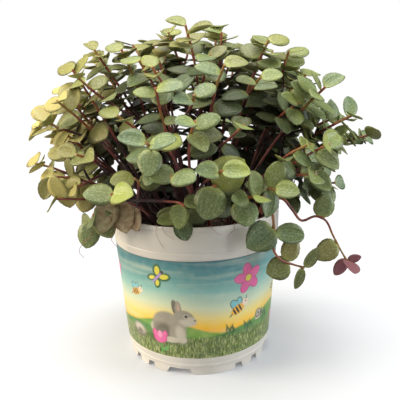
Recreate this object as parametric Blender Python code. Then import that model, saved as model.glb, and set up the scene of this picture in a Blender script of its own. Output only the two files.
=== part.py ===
"""A turtle vine in a 12 cm plastic nursery pot, as separate solids.

The pot is one moulding with a banded rim and a notched foot ring. A printed label wraps
its wall, a plug of potting mix fills it, and rooted shoots grow out of the mix. Each shoot
is one body: a main stem, its side stems and the leaves that they carry.

Units are metres, +Z is up, and the origin is on the floor under the pot's axis.
"""

import math
import random

import bmesh
import bpy
import numpy as np
from mathutils import Vector
from mathutils.bvhtree import BVHTree

# ---------------------------------------------------------------- driving dimensions
RIM_RADIUS = 0.0565
POT_HEIGHT = 0.1015
RIM_BAND_HEIGHT = 0.0210
WALL = 0.0012
LABEL_TOP_RADIUS = 0.0556
LABEL_LOW_RADIUS = 0.0506
LABEL_LOW_HEIGHT = 0.0130
LABEL_THICKNESS = 0.0004
FOOT_RADIUS = 0.0482
FLOOR_HEIGHT = 0.0070
GAP = 0.0003

FOOT_TURN = -105.5  # degrees from +X to the first wide notch
FOOT_NOTCHES = ((0.0, 0.0155), (47.5, 0.0055), (64.5, 0.0055))  # degrees on, and width
NOTCH_HEIGHT = 0.0042
DRAIN_COUNT = 6
DRAIN_RADIUS = 0.0035
DRAIN_RING = 0.0300

SOIL_LEVEL = 0.0915
SOIL_CROWN = 0.0030
SOCKET_DEPTH = 0.0050

MOUND_CENTRE = 0.1430
MOUND_RADIUS = 0.1010
MOUND_RISE = 0.0780
WIDEST_LEAN = math.radians(113)
ROOT_RADIUS = 0.0430
ROOT_LIMIT = 0.0465
MAIN_COUNT = 49
SIDE_COUNT = 56
GOLDEN_ANGLE = math.pi * (3 - math.sqrt(5))
PLANT_LEAN = Vector((0.0, -0.03, 0.0))  # how far the plant leans, per metre of height

STEM_SPANS = 7
TRAILER_SPANS = 10
ROOT_THICKNESS = 0.0014
TIP_THICKNESS = 0.0007
SIDE_THICKNESS = 0.0010
STEM_CLEARANCE = 0.0052
LEAF_LENGTH = 0.0150
LEAF_THICKNESS = 0.0006
LEAF_SECTIONS = ((0.28, 0.46), (0.68, 0.42))  # shares of the length, and half widths there
YOUNG_SECTIONS = ((0.50, 0.47),)
LEAST_FORK = math.radians(24)
STEM_TWIST = 0.5  # radians by which a stem's two rows of leaves may stand off level
MOST_LEAVES, SHADED_LEAVES = 5, 2
OPEN_TOP, OPEN_BACK, OPEN_RIGHT = 0.156, -0.030, 0.022  # bounds of the mound's bare low front
LIGHT = Vector((0.0, -0.32, 0.55))  # the way leaves turn, before the way out of the mound
LEAST_FACING = 0.66  # cosine: how squarely a stem's side faces what grows from it
POT_SEGMENTS = 40
SEED = 11

# Shoots that trail or stand apart from the mound, each through points in millimetres.
TRAILERS = {
    "right_trailer": [(30, -18, 92), (52, -22, 110), (63, -22, 101), (70, -21, 93), (77, -20, 96),
                      (82, -20, 98), (87, -20, 89), (93, -20, 77), (100, -20, 65)],
    "front_hanger": [(33, -30, 92), (43, -42, 112), (46, -48, 104), (46, -50, 95),
                     (46, -51, 85), (52, -49, 77), (60, -46, 73), (66, -46, 71)],
    "front_bright": [(8, -36, 92), (8, -48, 112), (9, -62, 124), (9, -72, 130), (10, -79, 132)],
    "rim_hanger": [(-6, -38, 92), (-8, -50, 107), (-9, -56, 110), (-10, -60, 108)],
    "left_trailer": [(-34, -22, 92), (-42, -29, 109), (-52, -35, 114), (-60, -40, 110),
                     (-64, -42, 103)],
    "left_reacher": [(-30, -12, 92), (-54, -20, 117), (-76, -28, 127), (-88, -31, 129)],
    "left_tip": [(-30, 6, 92), (-62, 10, 128), (-88, 12, 150), (-105, 14, 158)],
    "right_reacher": [(32, -2, 92), (60, -12, 122), (84, -24, 141), (98, -28, 148), (106, -29, 150)],
}
# Their leaves that show most: from the stem towards a tip, in millimetres, and width by length.
SHOWN_LEAVES = {
    "right_trailer": [((100, -20, 65), (108, -22, 68), 0.62), ((99, -20, 66), (93, -22, 56), 0.66),
                      ((93, -20, 77), (79, -25, 70), 0.84), ((82, -20, 98), (85, -21, 110), 0.86)],
    "front_hanger": [((66, -46, 71), (74, -44, 82), 0.50), ((65, -46, 71), (60, -50, 60), 0.46),
                     ((57, -47, 74), (43, -51, 71), 0.98), ((54, -48, 76), (60, -44, 90), 0.72),
                     ((46, -49, 98), (31, -56, 89), 0.95), ((46, -50, 96), (64, -46, 92), 0.66)],
    "front_bright": [((10, -79, 132), (5, -82, 115), 0.98), ((9, -76, 131), (21, -82, 142), 0.92)],
    "rim_hanger": [((-10, -60, 108), (-6, -63, 97), 0.86)],
    "left_trailer": [((-64, -42, 103), (-68, -46, 88), 0.84), ((-60, -40, 109), (-52, -48, 96), 0.80),
                     ((-50, -34, 114), (-51, -42, 128), 0.84)],
    "left_reacher": [((-88, -31, 129), (-93, -36, 117), 0.74), ((-79, -29, 128), (-77, -37, 112), 0.86),
                     ((-66, -25, 123), (-70, -33, 108), 0.86)],
}
SHOWN_LEAVES_FACE = Vector((0.05, -1.0, 0.40))


# ---------------------------------------------------------------- helpers
def clear_scene():
    """Removes the scene's objects."""
    for found in list(bpy.data.objects):
        bpy.data.objects.remove(found)


def material(name, colour, roughness, metallic=0.0):
    """A plain Principled material."""
    made = bpy.data.materials.new(name)
    made.use_nodes = True
    shader = made.node_tree.nodes["Principled BSDF"]
    shader.inputs["Base Color"].default_value = (*colour, 1.0)
    shader.inputs["Roughness"].default_value = roughness
    shader.inputs["Metallic"].default_value = metallic
    return made


def object_of(name, bm, finish, smooth_angle=None, recalculate=True):
    """Turns a bmesh into a named object with its finish."""
    if recalculate:
        bmesh.ops.recalc_face_normals(bm, faces=bm.faces)
    mesh = bpy.data.meshes.new(name)
    bm.to_mesh(mesh)
    bm.free()
    mesh.materials.append(finish)
    if smooth_angle is not None:
        mesh.shade_smooth()
        mesh.set_sharp_from_angle(angle=math.radians(smooth_angle))
    made = bpy.data.objects.new(name, mesh)
    bpy.context.scene.collection.objects.link(made)
    return made


def turned(profile, segments=POT_SEGMENTS):
    """A closed ring turned about Z from a closed outline of (radius, height) points."""
    bm = bmesh.new()
    corners = [bm.verts.new((r, 0, z)) for r, z in profile]
    edges = [bm.edges.new((a, b)) for a, b in zip(corners, corners[1:] + corners[:1])]
    bmesh.ops.spin(bm, geom=corners + edges, axis=(0, 0, 1), cent=(0, 0, 0),
                   angle=math.tau, steps=segments, use_merge=False)
    bmesh.ops.remove_doubles(bm, verts=bm.verts, dist=1e-6)
    return bm


def cut_with(target, cutter):
    """Subtracts a helper mesh and keeps it out of the model."""
    cutter.hide_render = True
    cutter.display_type = "WIRE"
    cut = target.modifiers.new(cutter.name, "BOOLEAN")
    cut.operation = "DIFFERENCE"
    cut.solver = "EXACT"
    cut.object = cutter


# ---------------------------------------------------------------- pot, label and potting mix
def wall_radius(height):
    """Outer radius of the pot's wall under the label."""
    share = (height - LABEL_LOW_HEIGHT) / (POT_HEIGHT - RIM_BAND_HEIGHT - LABEL_LOW_HEIGHT)
    outside = LABEL_LOW_RADIUS + share * (LABEL_TOP_RADIUS - LABEL_LOW_RADIUS)
    return outside - LABEL_THICKNESS - GAP


def make_pot(finish):
    """The moulded pot: rim band, wall, raised floor and notched foot ring."""
    band_low = POT_HEIGHT - RIM_BAND_HEIGHT
    inner_top = RIM_RADIUS - 1.5 * WALL
    foot_top = LABEL_LOW_HEIGHT - GAP
    outside = [
        (RIM_RADIUS - 0.0004, POT_HEIGHT),
        (RIM_RADIUS, POT_HEIGHT - 0.0006),
        (RIM_RADIUS - 0.0003, POT_HEIGHT - 0.0040),
        (LABEL_TOP_RADIUS + 0.0006, band_low + 0.0040),
        (LABEL_TOP_RADIUS + 0.0005, band_low + 0.0004),
        (LABEL_TOP_RADIUS + 0.0002, band_low),
        (wall_radius(band_low), band_low - GAP),
        (wall_radius(foot_top + GAP), foot_top + GAP),
        (LABEL_LOW_RADIUS - 0.0004, foot_top),
        (FOOT_RADIUS + 0.0010, 0.0062),
        (FOOT_RADIUS + 0.0003, 0.0056),
        (FOOT_RADIUS, 0.0),
    ]
    inside = [
        (FOOT_RADIUS - 1.3 * WALL, 0.0),
        (FOOT_RADIUS - 1.3 * WALL, FLOOR_HEIGHT - WALL),
    ]
    under = [(0.0, FLOOR_HEIGHT - WALL), (0.0, FLOOR_HEIGHT)]
    cavity = [
        (FOOT_RADIUS - WALL, FLOOR_HEIGHT),
        (wall_radius(LABEL_LOW_HEIGHT) - WALL, LABEL_LOW_HEIGHT),
        (wall_radius(band_low) - WALL, band_low),
        (inner_top - 0.0010, POT_HEIGHT - 0.0050),
        (inner_top, POT_HEIGHT),
    ]
    bm = turned(outside + inside + under + cavity)
    bmesh.ops.dissolve_degenerate(bm, edges=bm.edges, dist=1e-7)
    pot = object_of("pot", bm, finish, 35)
    cut_with(pot, notch_cutter())
    cut_with(pot, drain_cutter())
    return pot


def notch_cutter():
    """Wedges that notch the foot ring: in each quarter, a wide one and two narrow ones."""
    bm = bmesh.new()
    depth = 0.0100
    quarters = [(FOOT_TURN + 90 * q, notch) for q in range(4) for notch in FOOT_NOTCHES]
    for start, (on, width) in quarters:
        turn = math.radians(start + on)
        out = Vector((math.cos(turn), math.sin(turn), 0))
        side = Vector((-math.sin(turn), math.cos(turn), 0))
        corners = []
        for radius in (FOOT_RADIUS - depth, FOOT_RADIUS + depth):
            for across, height in ((-0.62, -0.001), (0.62, -0.001), (0.42, NOTCH_HEIGHT),
                                   (-0.42, NOTCH_HEIGHT)):
                place = out * radius + side * (across * width) + Vector((0, 0, height))
                corners.append(bm.verts.new(place))
        near, far = corners[:4], corners[4:]
        bm.faces.new(near)
        bm.faces.new(list(reversed(far)))
        for k in range(4):
            bm.faces.new((near[k], far[k], far[(k + 1) % 4], near[(k + 1) % 4]))
    return object_of("notch_cutter", bm, None)


def drain_cutter():
    """Short posts that cut the drain holes through the raised floor."""
    bm = bmesh.new()
    for i in range(DRAIN_COUNT):
        turn = math.tau * (i + 0.25) / DRAIN_COUNT
        made = bmesh.ops.create_cone(bm, cap_ends=True, segments=10, depth=0.012,
                                     radius1=DRAIN_RADIUS, radius2=DRAIN_RADIUS)
        centre = Vector((DRAIN_RING * math.cos(turn), DRAIN_RING * math.sin(turn), FLOOR_HEIGHT))
        bmesh.ops.translate(bm, verts=made["verts"], vec=centre)
    return object_of("drain_cutter", bm, None)


def make_label(finish):
    """The printed film round the wall, between the rim band and the foot."""
    low = LABEL_LOW_HEIGHT + GAP
    high = POT_HEIGHT - RIM_BAND_HEIGHT - 2 * GAP
    profile = [
        (wall_radius(high) + GAP + LABEL_THICKNESS, high),
        (wall_radius(low) + GAP + LABEL_THICKNESS, low),
        (wall_radius(low) + GAP, low),
        (wall_radius(high) + GAP, high),
    ]
    return object_of("printed_label", turned(profile), finish, 35)


def soil_height(x, y):
    """Height of the potting mix's bumpy surface."""
    away = math.hypot(x, y) / LABEL_TOP_RADIUS
    bumps = math.sin(x * 260 + 1.3) * math.cos(y * 310 - 0.4)
    return SOIL_LEVEL + SOIL_CROWN * (1 - away * away) + 0.0009 * bumps


def make_potting_mix(finish, roots):
    """The plug of mix that fills the pot, with a socket for each rooted stem."""
    bm = bmesh.new()
    low = FLOOR_HEIGHT + GAP
    inset = WALL + 2 * GAP
    heights = [low + 0.0004, LABEL_LOW_HEIGHT, 0.050, 0.080, SOIL_LEVEL - 0.001]
    radii = [FOOT_RADIUS - inset] + [wall_radius(h) - inset for h in heights[1:4]]
    radii.append(wall_radius(POT_HEIGHT - RIM_BAND_HEIGHT) - inset)
    rings = []
    segments = POT_SEGMENTS // 2
    for radius, height in zip(radii, heights):
        turns = [math.tau * k / segments for k in range(segments)]
        rings.append([bm.verts.new((radius * math.cos(a), radius * math.sin(a), height))
                      for a in turns])
    bm.faces.new(list(reversed(rings[0])))
    for share in (0.78, 0.52, 0.26):
        ring = []
        for k in range(segments):
            x = radii[-1] * share * math.cos(math.tau * k / segments)
            y = radii[-1] * share * math.sin(math.tau * k / segments)
            ring.append(bm.verts.new((x, y, soil_height(x, y))))
        rings.append(ring)
    for a, b in zip(rings, rings[1:]):
        for k in range(segments):
            n = (k + 1) % segments
            bm.faces.new((a[k], a[n], b[n], b[k]))
    crown = bm.verts.new((0, 0, soil_height(0, 0)))
    for k in range(segments):
        bm.faces.new((rings[-1][k], rings[-1][(k + 1) % segments], crown))
    mix = object_of("potting_mix", bm, finish, 60)
    cut_with(mix, socket_cutter(roots))
    return mix


def socket_cutter(roots):
    """Posts that cut the sockets in which the stems stand."""
    bm = bmesh.new()
    for root in roots:
        made = bmesh.ops.create_cone(bm, cap_ends=True, segments=4, depth=0.024,
                                     radius1=ROOT_THICKNESS * 1.42 + 1.42 * GAP,
                                     radius2=ROOT_THICKNESS * 1.42 + 1.42 * GAP)
        foot = SOIL_LEVEL - SOCKET_DEPTH - GAP
        bmesh.ops.translate(bm, verts=made["verts"], vec=(root.x, root.y, foot + 0.012))
    return object_of("socket_cutter", bm, None)


# ---------------------------------------------------------------- how the vine grows
class Stem:
    """One stem of a shoot: the points it passes through and how thick it is."""

    def __init__(self, shoot, points, thickness, leaf_scale, host=None, host_span=0):
        self.shoot = shoot
        self.points = points
        self.thickness = thickness
        self.leaf_scale = leaf_scale
        self.host = host
        self.host_span = host_span
        self.leaves = []
        self.frames = []
        self.taken = set()

    def at(self, share):
        """Point and direction at a share of the stem's length, from 0 at the root."""
        left = share * self.length()
        for span, (a, b) in enumerate(zip(self.points, self.points[1:])):
            run = (b - a).length
            if left <= run or span == len(self.points) - 2:
                return a.lerp(b, min(left / run, 1.0)), (b - a).normalized(), span
            left -= run

    def length(self):
        return sum((b - a).length for a, b in zip(self.points, self.points[1:]))

    def radius(self, share):
        return self.thickness + (TIP_THICKNESS - self.thickness) * share


def mound_point(lean, azimuth, reach):
    """A point of the mound: lean is measured from straight up, azimuth from +X."""
    return Vector((
        reach * MOUND_RADIUS * math.sin(lean) * math.cos(azimuth),
        reach * MOUND_RADIUS * math.sin(lean) * math.sin(azimuth),
        MOUND_CENTRE + reach * MOUND_RISE * math.cos(lean),
    ))


def heading(lean, azimuth):
    """The way a stem's tip points: outwards, and turned up to the light."""
    out = Vector((math.cos(azimuth), math.sin(azimuth), 0)) * math.sin(lean)
    return (out + Vector((0, 0, 0.30 + 0.85 * math.cos(lean)))).normalized()


def wander(rng, reach):
    """A sideways shift of up to reach, so that no two stems bend alike."""
    return Vector((rng.uniform(-reach, reach), rng.uniform(-reach, reach), 0))


def bezier(p0, p1, p2, p3, count):
    """Points along a cubic Bezier curve."""
    found = []
    for k in range(count + 1):
        t = k / count
        u = 1 - t
        found.append(p0 * u**3 + p1 * (3 * u * u * t) + p2 * (3 * u * t * t) + p3 * t**3)
    return found


def through(points, count):
    """Evenly spaced points on a smooth curve through the given ones."""
    ends = [points[0] * 2 - points[1]] + points + [points[-1] * 2 - points[-2]]
    fine = []
    for a, b, c, d in zip(ends, ends[1:], ends[2:], ends[3:]):
        for k in range(8):
            t = k / 8
            fine.append(0.5 * ((b * 2) + (c - a) * t + (a * 2 - b * 5 + c * 4 - d) * t * t
                               + (b * 3 - a - c * 3 + d) * t**3))
    fine.append(points[-1])
    run = [0.0]
    for a, b in zip(fine, fine[1:]):
        run.append(run[-1] + (b - a).length)
    found = []
    for k in range(count + 1):
        want = run[-1] * k / count
        i = max(j for j in range(len(run)) if run[j] <= want + 1e-12)
        i = min(i, len(fine) - 2)
        found.append(fine[i].lerp(fine[i + 1], (want - run[i]) / (run[i + 1] - run[i])))
    return found


def main_stems(rng):
    """Stems spread by the golden angle, from the middle of the pot to its rim."""
    stems = []
    for i in range(MAIN_COUNT):
        share = (i + 0.5) / MAIN_COUNT
        lean = math.acos(1 - share * (1 - math.cos(WIDEST_LEAN)))
        azimuth = i * GOLDEN_ANGLE + rng.uniform(-0.22, 0.22)
        tip = mound_point(lean, azimuth, rng.uniform(0.86, 1.03))
        spread = ROOT_RADIUS * math.sqrt(share)
        out = Vector((math.cos(azimuth), math.sin(azimuth), 0))
        root = out * spread + Vector((0, 0, SOIL_LEVEL - SOCKET_DEPTH))
        rise = (tip - root).length
        first = root + (Vector((0, 0, 1)) + out * 0.45 * math.sin(lean)) * rise * 0.36
        first += wander(rng, 0.008)
        second = tip - heading(lean, azimuth) * rise * 0.34 + wander(rng, 0.012)
        points = bezier(root, first, second, tip, STEM_SPANS)
        stems.append(Stem(f"shoot_{i + 1:02d}", points, ROOT_THICKNESS, 1.0))
    return stems


def trailing_stems():
    """The stems that hang over the rim or stand apart, through their own points."""
    stems = []
    for name, route in TRAILERS.items():
        points = through([Vector(p) * 0.001 for p in route], TRAILER_SPANS)
        points[0].z = SOIL_LEVEL - SOCKET_DEPTH
        stems.append(Stem(name, points, ROOT_THICKNESS, 1.0))
    return stems


def side_stems(mains, rng):
    """Side stems that fill the mound, each forking from the nearest main stem that can."""
    stems = []
    for i in range(SIDE_COUNT):
        share = (i + 0.5) / SIDE_COUNT
        lean = math.acos(1 - share * (1 - math.cos(WIDEST_LEAN)))
        azimuth = (i + 0.5) * GOLDEN_ANGLE + 1.9
        tip = mound_point(lean, azimuth, rng.uniform(0.78, 1.0))
        taken = [s.host for s in stems]
        free = [m for m in mains if taken.count(m) < 2]
        for host in sorted(free, key=lambda m: (m.points[-1] - tip).length):
            span = rng.choice((3, 4))
            start = host.points[span].lerp(host.points[span + 1], 0.5)
            along = (host.points[span + 1] - host.points[span]).normalized()
            if along.angle(tip - start) > LEAST_FORK:
                break
        run = (tip - start).length
        way = (tip - start).normalized()
        first = start + (along * 0.35 + way) * run * 0.26
        second = tip - heading(lean, azimuth) * run * 0.30 + wander(rng, 0.004)
        points = bezier(start, first, second, tip, STEM_SPANS - 3)
        stems.append(Stem(host.shoot, points, SIDE_THICKNESS, 0.95, host, span))
    return stems


def settle(stems, rounds=40):
    """Stems that crowd each other push apart, and all stay inside or above the rim."""
    sizes = [len(s.points) for s in stems]
    owner = np.repeat(np.arange(len(stems)), sizes)
    shoot = np.array([stems[k].shoot for k in owner])
    place = np.array([p for s in stems for p in s.points])
    first = np.cumsum([0] + sizes[:-1])
    held = np.zeros(len(place), bool)
    held[[k for k, s in zip(first, stems) if s.host is None]] = True
    lower = np.flatnonzero(owner[:-1] == owner[1:])
    forks = np.isin(np.arange(len(place)), [k for k, s in zip(first, stems) if s.host])
    owners = np.concatenate([owner, owner[lower]])
    shoots = np.concatenate([shoot, shoot[lower]])
    forks = np.concatenate([forks, forks[lower]])
    for _ in range(rounds):
        tested = np.concatenate([place, (place[lower] + place[lower + 1]) / 2])
        gap = tested[:, None, :] - tested[None, :, :]
        far = np.sqrt((gap**2).sum(2)) + 1e-9
        near = (far < STEM_CLEARANCE) & (owners[:, None] != owners[None, :])
        near &= ~((shoots[:, None] == shoots[None, :]) & (forks[:, None] | forks[None, :]))
        push = 0.35 * (np.where(near, (STEM_CLEARANCE - far) / far, 0.0)[:, :, None] * gap).sum(1)
        move = push[:len(place)]
        np.add.at(move, lower, 0.5 * push[len(place):])
        np.add.at(move, lower + 1, 0.5 * push[len(place):])
        move[held, 2] = 0.0
        place += move
        out = np.hypot(place[:, 0], place[:, 1])
        place[held, :2] *= np.minimum(1.0, ROOT_LIMIT / out[held])[:, None]
        low = (place[:, 2] < POT_HEIGHT + 0.003) & (out > RIM_RADIUS - 0.009)
        low &= (out < RIM_RADIUS + 0.001) & ~held
        place[low, 2] = POT_HEIGHT + 0.003
        sunk = (place[:, 2] < SOIL_LEVEL + 2 * SOIL_CROWN) & (out < RIM_RADIUS) & ~held
        place[sunk, 2] = SOIL_LEVEL + 2 * SOIL_CROWN
    for s, start, size in zip(stems, first, sizes):
        s.points = [Vector(p) for p in place[start:start + size]]
        s.points = [p + PLANT_LEAN * max(p.z - SOIL_LEVEL, 0) for p in s.points]
        if s.host is None:
            collar = s.points[0].copy()
            collar.z = soil_height(collar.x, collar.y) + 0.0012
            s.points.insert(1, collar)
    for s in stems:
        if s.host is not None:
            s.host_span += 1
            span = s.host_span
            s.points[0] = s.host.points[span].lerp(s.host.points[span + 1], 0.5)


def leaf_outline(leaf, attached):
    """Corners round the blade, with or without the point where it joins the stem."""
    base, along, normal, length, width = leaf[:5]
    across = normal.cross(along)
    (near, near_half), (far, far_half) = LEAF_SECTIONS
    outline = [(near, near_half), (far, far_half), (1.0, 0.0), (far, -far_half), (near, -near_half)]
    if attached:
        outline.append((0.0, 0.0))
    return [base + along * (length * 1.03 * share) + across * (width * 1.06 * half)
            for share, half in outline]


def blade_tree(leaf, attached=True):
    """A search tree over the blade, to test it against its neighbours."""
    flat = leaf_outline(leaf, attached)
    lift = leaf[2] * (0.8 * LEAF_THICKNESS)
    corners = [p + lift for p in flat] + [p - lift for p in flat]
    n = len(flat)
    faces = [(0, k, k + 1) for k in range(1, n - 1)]
    faces += [(n, n + k + 1, n + k) for k in range(1, n - 1)]
    faces += [(k, (k + 1) % n, n + k) for k in range(n)]
    faces += [((k + 1) % n, n + (k + 1) % n, n + k) for k in range(n)]
    return BVHTree.FromPolygons(corners, faces)


def stem_tree(stem):
    """A search tree over the stem, a little thicker than it is."""
    corners, faces = [], []
    for k, point in enumerate(stem.points):
        share = k / (len(stem.points) - 1)
        _, along, _ = stem.at(min(share, 0.999))
        n1 = along.orthogonal().normalized()
        n2 = along.cross(n1)
        radius = stem.radius(share) * 1.25 + GAP
        for a in range(4):
            turn = math.tau * a / 4
            corners.append(point + n1 * (radius * math.cos(turn)) + n2 * (radius * math.sin(turn)))
    for k in range(len(stem.points) - 1):
        for a in range(4):
            b = (a + 1) % 4
            faces.append((4 * k + a, 4 * k + b, 4 * k + 4 + b, 4 * k + 4 + a))
    return BVHTree.FromPolygons(corners, faces)


def rim_tree():
    """A search tree over the pot's rim and wall, so that leaves stay off them."""
    corners, faces = [], []
    outline = [(RIM_RADIUS + 0.0006, 0.0), (RIM_RADIUS + 0.0006, POT_HEIGHT + 0.0006),
               (RIM_RADIUS - 0.0028, POT_HEIGHT + 0.0006), (RIM_RADIUS - 0.0050, SOIL_LEVEL),
               (0.0, SOIL_LEVEL + SOIL_CROWN + 0.0012)]
    segments = 32
    for k in range(segments):
        turn = math.tau * k / segments
        corners += [(r * math.cos(turn), r * math.sin(turn), z) for r, z in outline]
    n = len(outline)
    for k in range(segments):
        for j in range(n - 1):
            a, b = k * n + j, ((k + 1) % segments) * n + j
            faces.append((a, b, b + 1, a + 1))
    return BVHTree.FromPolygons(corners, faces)


def side_facing(frame, way):
    """Which of the stem's four sides, counted by quarter turns, faces a direction most."""
    ways = [frame[0], frame[1], -frame[0], -frame[1]]
    return max(range(4), key=lambda k: ways[k].dot(way))


def outwards(place):
    """The way out of the mound at a place."""
    x, y, z = place.x, place.y, place.z - MOUND_CENTRE
    return Vector((x / MOUND_RADIUS**2, y / MOUND_RADIUS**2, z / MOUND_RISE**2)).normalized()


def facing(light, along):
    """The normal of a blade that points along a way and turns its face to the light."""
    normal = light - along * light.dot(along)
    if normal.length < 0.05:
        normal = along.orthogonal()
    return normal.normalized()


def make_leaf(stem, share, side, age, rng):
    """One leaf as (base, along, normal, length, width, age, span) for a place on a stem."""
    place, tangent, span = stem.at(share)
    frame = stem.frames[span]
    turn = math.pi / 2 * side + rng.uniform(-0.25, 0.25)
    out = frame[0] * math.cos(turn) + frame[1] * math.sin(turn)
    splay = math.radians(56 + 24 * age + rng.uniform(-12, 12))
    along = out * math.sin(splay) + tangent * math.cos(splay)
    along.z *= 0.75
    along.normalize()
    light = LIGHT + outwards(place) * 0.45
    light += Vector([rng.uniform(-0.3, 0.3) for _ in range(3)])
    grown = 0.62 + 0.38 * age
    length = LEAF_LENGTH * stem.leaf_scale * grown * rng.uniform(0.88, 1.12)
    width = length * rng.uniform(0.74, 0.92)
    base = place + out * (stem.radius(share) * 0.8)
    return (base, along, facing(light, along), length, width, age, span)


def shown_leaf(stem, base, tip, spread):
    """A leaf set by hand, from near one point of its stem towards another point."""
    shares = [k / 60 for k in range(61)]
    share = min(shares, key=lambda t: (stem.at(t)[0] - base).length)
    place, _, span = stem.at(share)
    along = (tip - place).normalized()
    length = (tip - place).length
    sideways = along - stem.at(share)[1] * along.dot(stem.at(share)[1])
    base = place + sideways.normalized() * (stem.radius(share) * 0.8)
    return (base, along, facing(SHOWN_LEAVES_FACE, along), length, length * spread, 1.0, span)


def accept(stem, leaf, side, own, obstacles):
    """Keeps a leaf if its blade touches nothing, and says whether it did."""
    middle = leaf[0] + leaf[1] * (leaf[3] / 2)
    near = [o for o in obstacles
            if o[0] is not stem and (o[1] - middle).length < o[2] + leaf[3]]
    tree = blade_tree(leaf)
    if own.overlap(blade_tree(leaf, attached=False)) or any(o[3].overlap(tree) for o in near):
        return False
    obstacles.append((leaf, middle, leaf[3] / 2, tree))
    stem.leaves.append(leaf)
    stem.taken.add((leaf[6], side))
    return True


def grow_leaves(stems, rng):
    """Leaves up each stem in two rows, moved or left out where they would touch."""
    obstacles = [(None, Vector((0, 0, 0)), 9.0, rim_tree())]
    for s in stems:
        reach = s.length() / 2 + 0.002
        obstacles.append((s, (s.points[0] + s.points[-1]) / 2, reach, stem_tree(s)))
        s.frames = frames_along(s.points, rng.uniform(-STEM_TWIST, STEM_TWIST))
    for s in stems:
        if s.host is not None:
            way = s.points[1] - s.points[0]
            s.host.taken.add((s.host_span, side_facing(s.host.frames[s.host_span], way)))
    for s in stems:
        own = stem_tree(s)
        for base, tip, spread in SHOWN_LEAVES.get(s.shoot, []):
            leaf = shown_leaf(s, Vector(base) * 0.001, Vector(tip) * 0.001, spread)
            side = side_facing(s.frames[leaf[6]], leaf[1])
            if (leaf[6], side) not in s.taken:
                accept(s, leaf, side, own, obstacles)
    for s in stems:
        own = stem_tree(s)
        total = s.length()
        leafy = total * (0.62 if s.host is None else 0.86)
        back, step, row, age = 0.0006, 0.0046, rng.choice((0, 2)), 0.35
        most = MOST_LEAVES if s.host is None else MOST_LEAVES - 1
        tip = s.points[-1]
        low = tip.z < OPEN_TOP and tip.y < OPEN_BACK and tip.x < OPEN_RIGHT
        if low and s.shoot not in TRAILERS:
            most = SHADED_LEAVES
        while back < leafy and len(s.leaves) < most:
            share = 1 - back / total
            span = s.at(share)[2]
            for onwards in (0, 2, 0, 1, 3):
                side = (row + onwards) % 4
                if (span, side) in s.taken:
                    continue
                if accept(s, make_leaf(s, share, side, age, rng), side, own, obstacles):
                    break
            back += step
            step = min(step + 0.0016, 0.0125)
            row = (row + 2) % 4
            age = min(1.0, age + 0.22)


def frames_along(points, twist):
    """Two crosswise directions at each point, the first one level but for the twist."""
    found = []
    rise = (points[-1] - points[0]).normalized()
    cross = Vector((0, 0, 1)).cross(rise).normalized()
    cross = cross * math.cos(twist) + rise.cross(cross) * math.sin(twist)
    for k in range(len(points)):
        a = points[max(k - 1, 0)]
        b = points[min(k + 1, len(points) - 1)]
        along = (b - a).normalized()
        cross = (cross - along * cross.dot(along)).normalized()
        found.append((cross, along.cross(cross)))
    return found


# ---------------------------------------------------------------- solids of the shoots
def ring_places(point, frame, radius):
    """The four corners of the stem's section."""
    return [point + frame[0] * (radius * math.cos(a)) + frame[1] * (radius * math.sin(a))
            for a in (math.pi / 4 + math.tau * k / 4 for k in range(4))]


def extruded(bm, face, places):
    """Extrudes a face and moves its corners to the given places."""
    made = bmesh.ops.extrude_discrete_faces(bm, faces=[face])["faces"][0]
    for corner, place in zip(made.verts, places):
        corner.co = place
    return made


def grow_tube(bm, face, stem, start, spans):
    """Extrudes the stem's section along its points, and lists each span's side faces."""
    for k in range(start, len(stem.points)):
        share = k / (len(stem.points) - 1)
        places = ring_places(stem.points[k], stem.frames[k], stem.radius(share))
        face = extruded(bm, face, turned_to(face, places))
        sides = [f for e in face.edges for f in e.link_faces if f is not face]
        spans.append(sides)
    return face


def turned_to(face, places):
    """Places listed from the one that suits the face's first corner, the winding kept."""
    corners = [v.co for v in face.verts]
    n = len(places)
    lists = [places[k:] + places[:k] for k in range(n)]
    return min(lists, key=lambda way: sum((p - c).length for p, c in zip(way, corners)))


def bud(bm, faces, centre, out, broad, half_broad, half_narrow):
    """Insets the side face that looks outwards, as the seat of a leaf or a side stem."""
    face = max(faces, key=lambda f: f.normal.dot(out))
    longest = max(face.edges, key=lambda e: e.calc_length())
    up = (longest.verts[1].co - longest.verts[0].co).normalized()
    sideways = out - up * out.dot(up)
    if face.normal.dot(sideways) < LEAST_FACING * sideways.length:
        return None
    faces.remove(face)
    corners = [v.co.copy() for v in face.verts]
    middle = sum(corners, Vector()) / 4
    across = face.normal.cross(up)
    upright = abs(broad.dot(up)) > abs(broad.dot(across))
    half_height, half_width = (half_broad, half_narrow) if upright else (half_narrow, half_broad)
    height = max((c - middle).dot(up) for c in corners)
    width = min(abs((c - middle).dot(across)) for c in corners)
    limit = max(height - half_height - 0.0004, 0.0)
    seat = middle + up * max(-limit, min(limit, (centre - middle).dot(up)))
    tall, wide = up * half_height, across * min(half_width, width * 0.72)
    bmesh.ops.inset_individual(bm, faces=[face], thickness=0.0001)
    places = [seat + tall + wide, seat - tall + wide, seat - tall - wide, seat + tall - wide]
    for corner, place in zip(face.verts, turned_to(face, places)):
        corner.co = place
    bm.normal_update()
    return face


def add_leaf(bm, faces, leaf):
    """Extrudes one blade from its seat on the stem."""
    base, along, normal, length, width, age, _ = leaf
    across = normal.cross(along)
    seat = bud(bm, faces, base, along, across, 0.0006, 0.00035)
    if seat is None:
        return
    lift = normal * (LEAF_THICKNESS / 2)
    for share, spread in LEAF_SECTIONS if age > 0.5 else YOUNG_SECTIONS:
        centre = base + along * (length * share)
        side = across * (width * spread)
        places = [centre - side + lift, centre - side - lift,
                  centre + side - lift, centre + side + lift]
        seat = extruded(bm, seat, turned_to(seat, places))
    tip = base + along * length
    seat = extruded(bm, seat, [tip] * 4)
    bmesh.ops.pointmerge(bm, verts=list(seat.verts), merge_co=tip)


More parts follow.
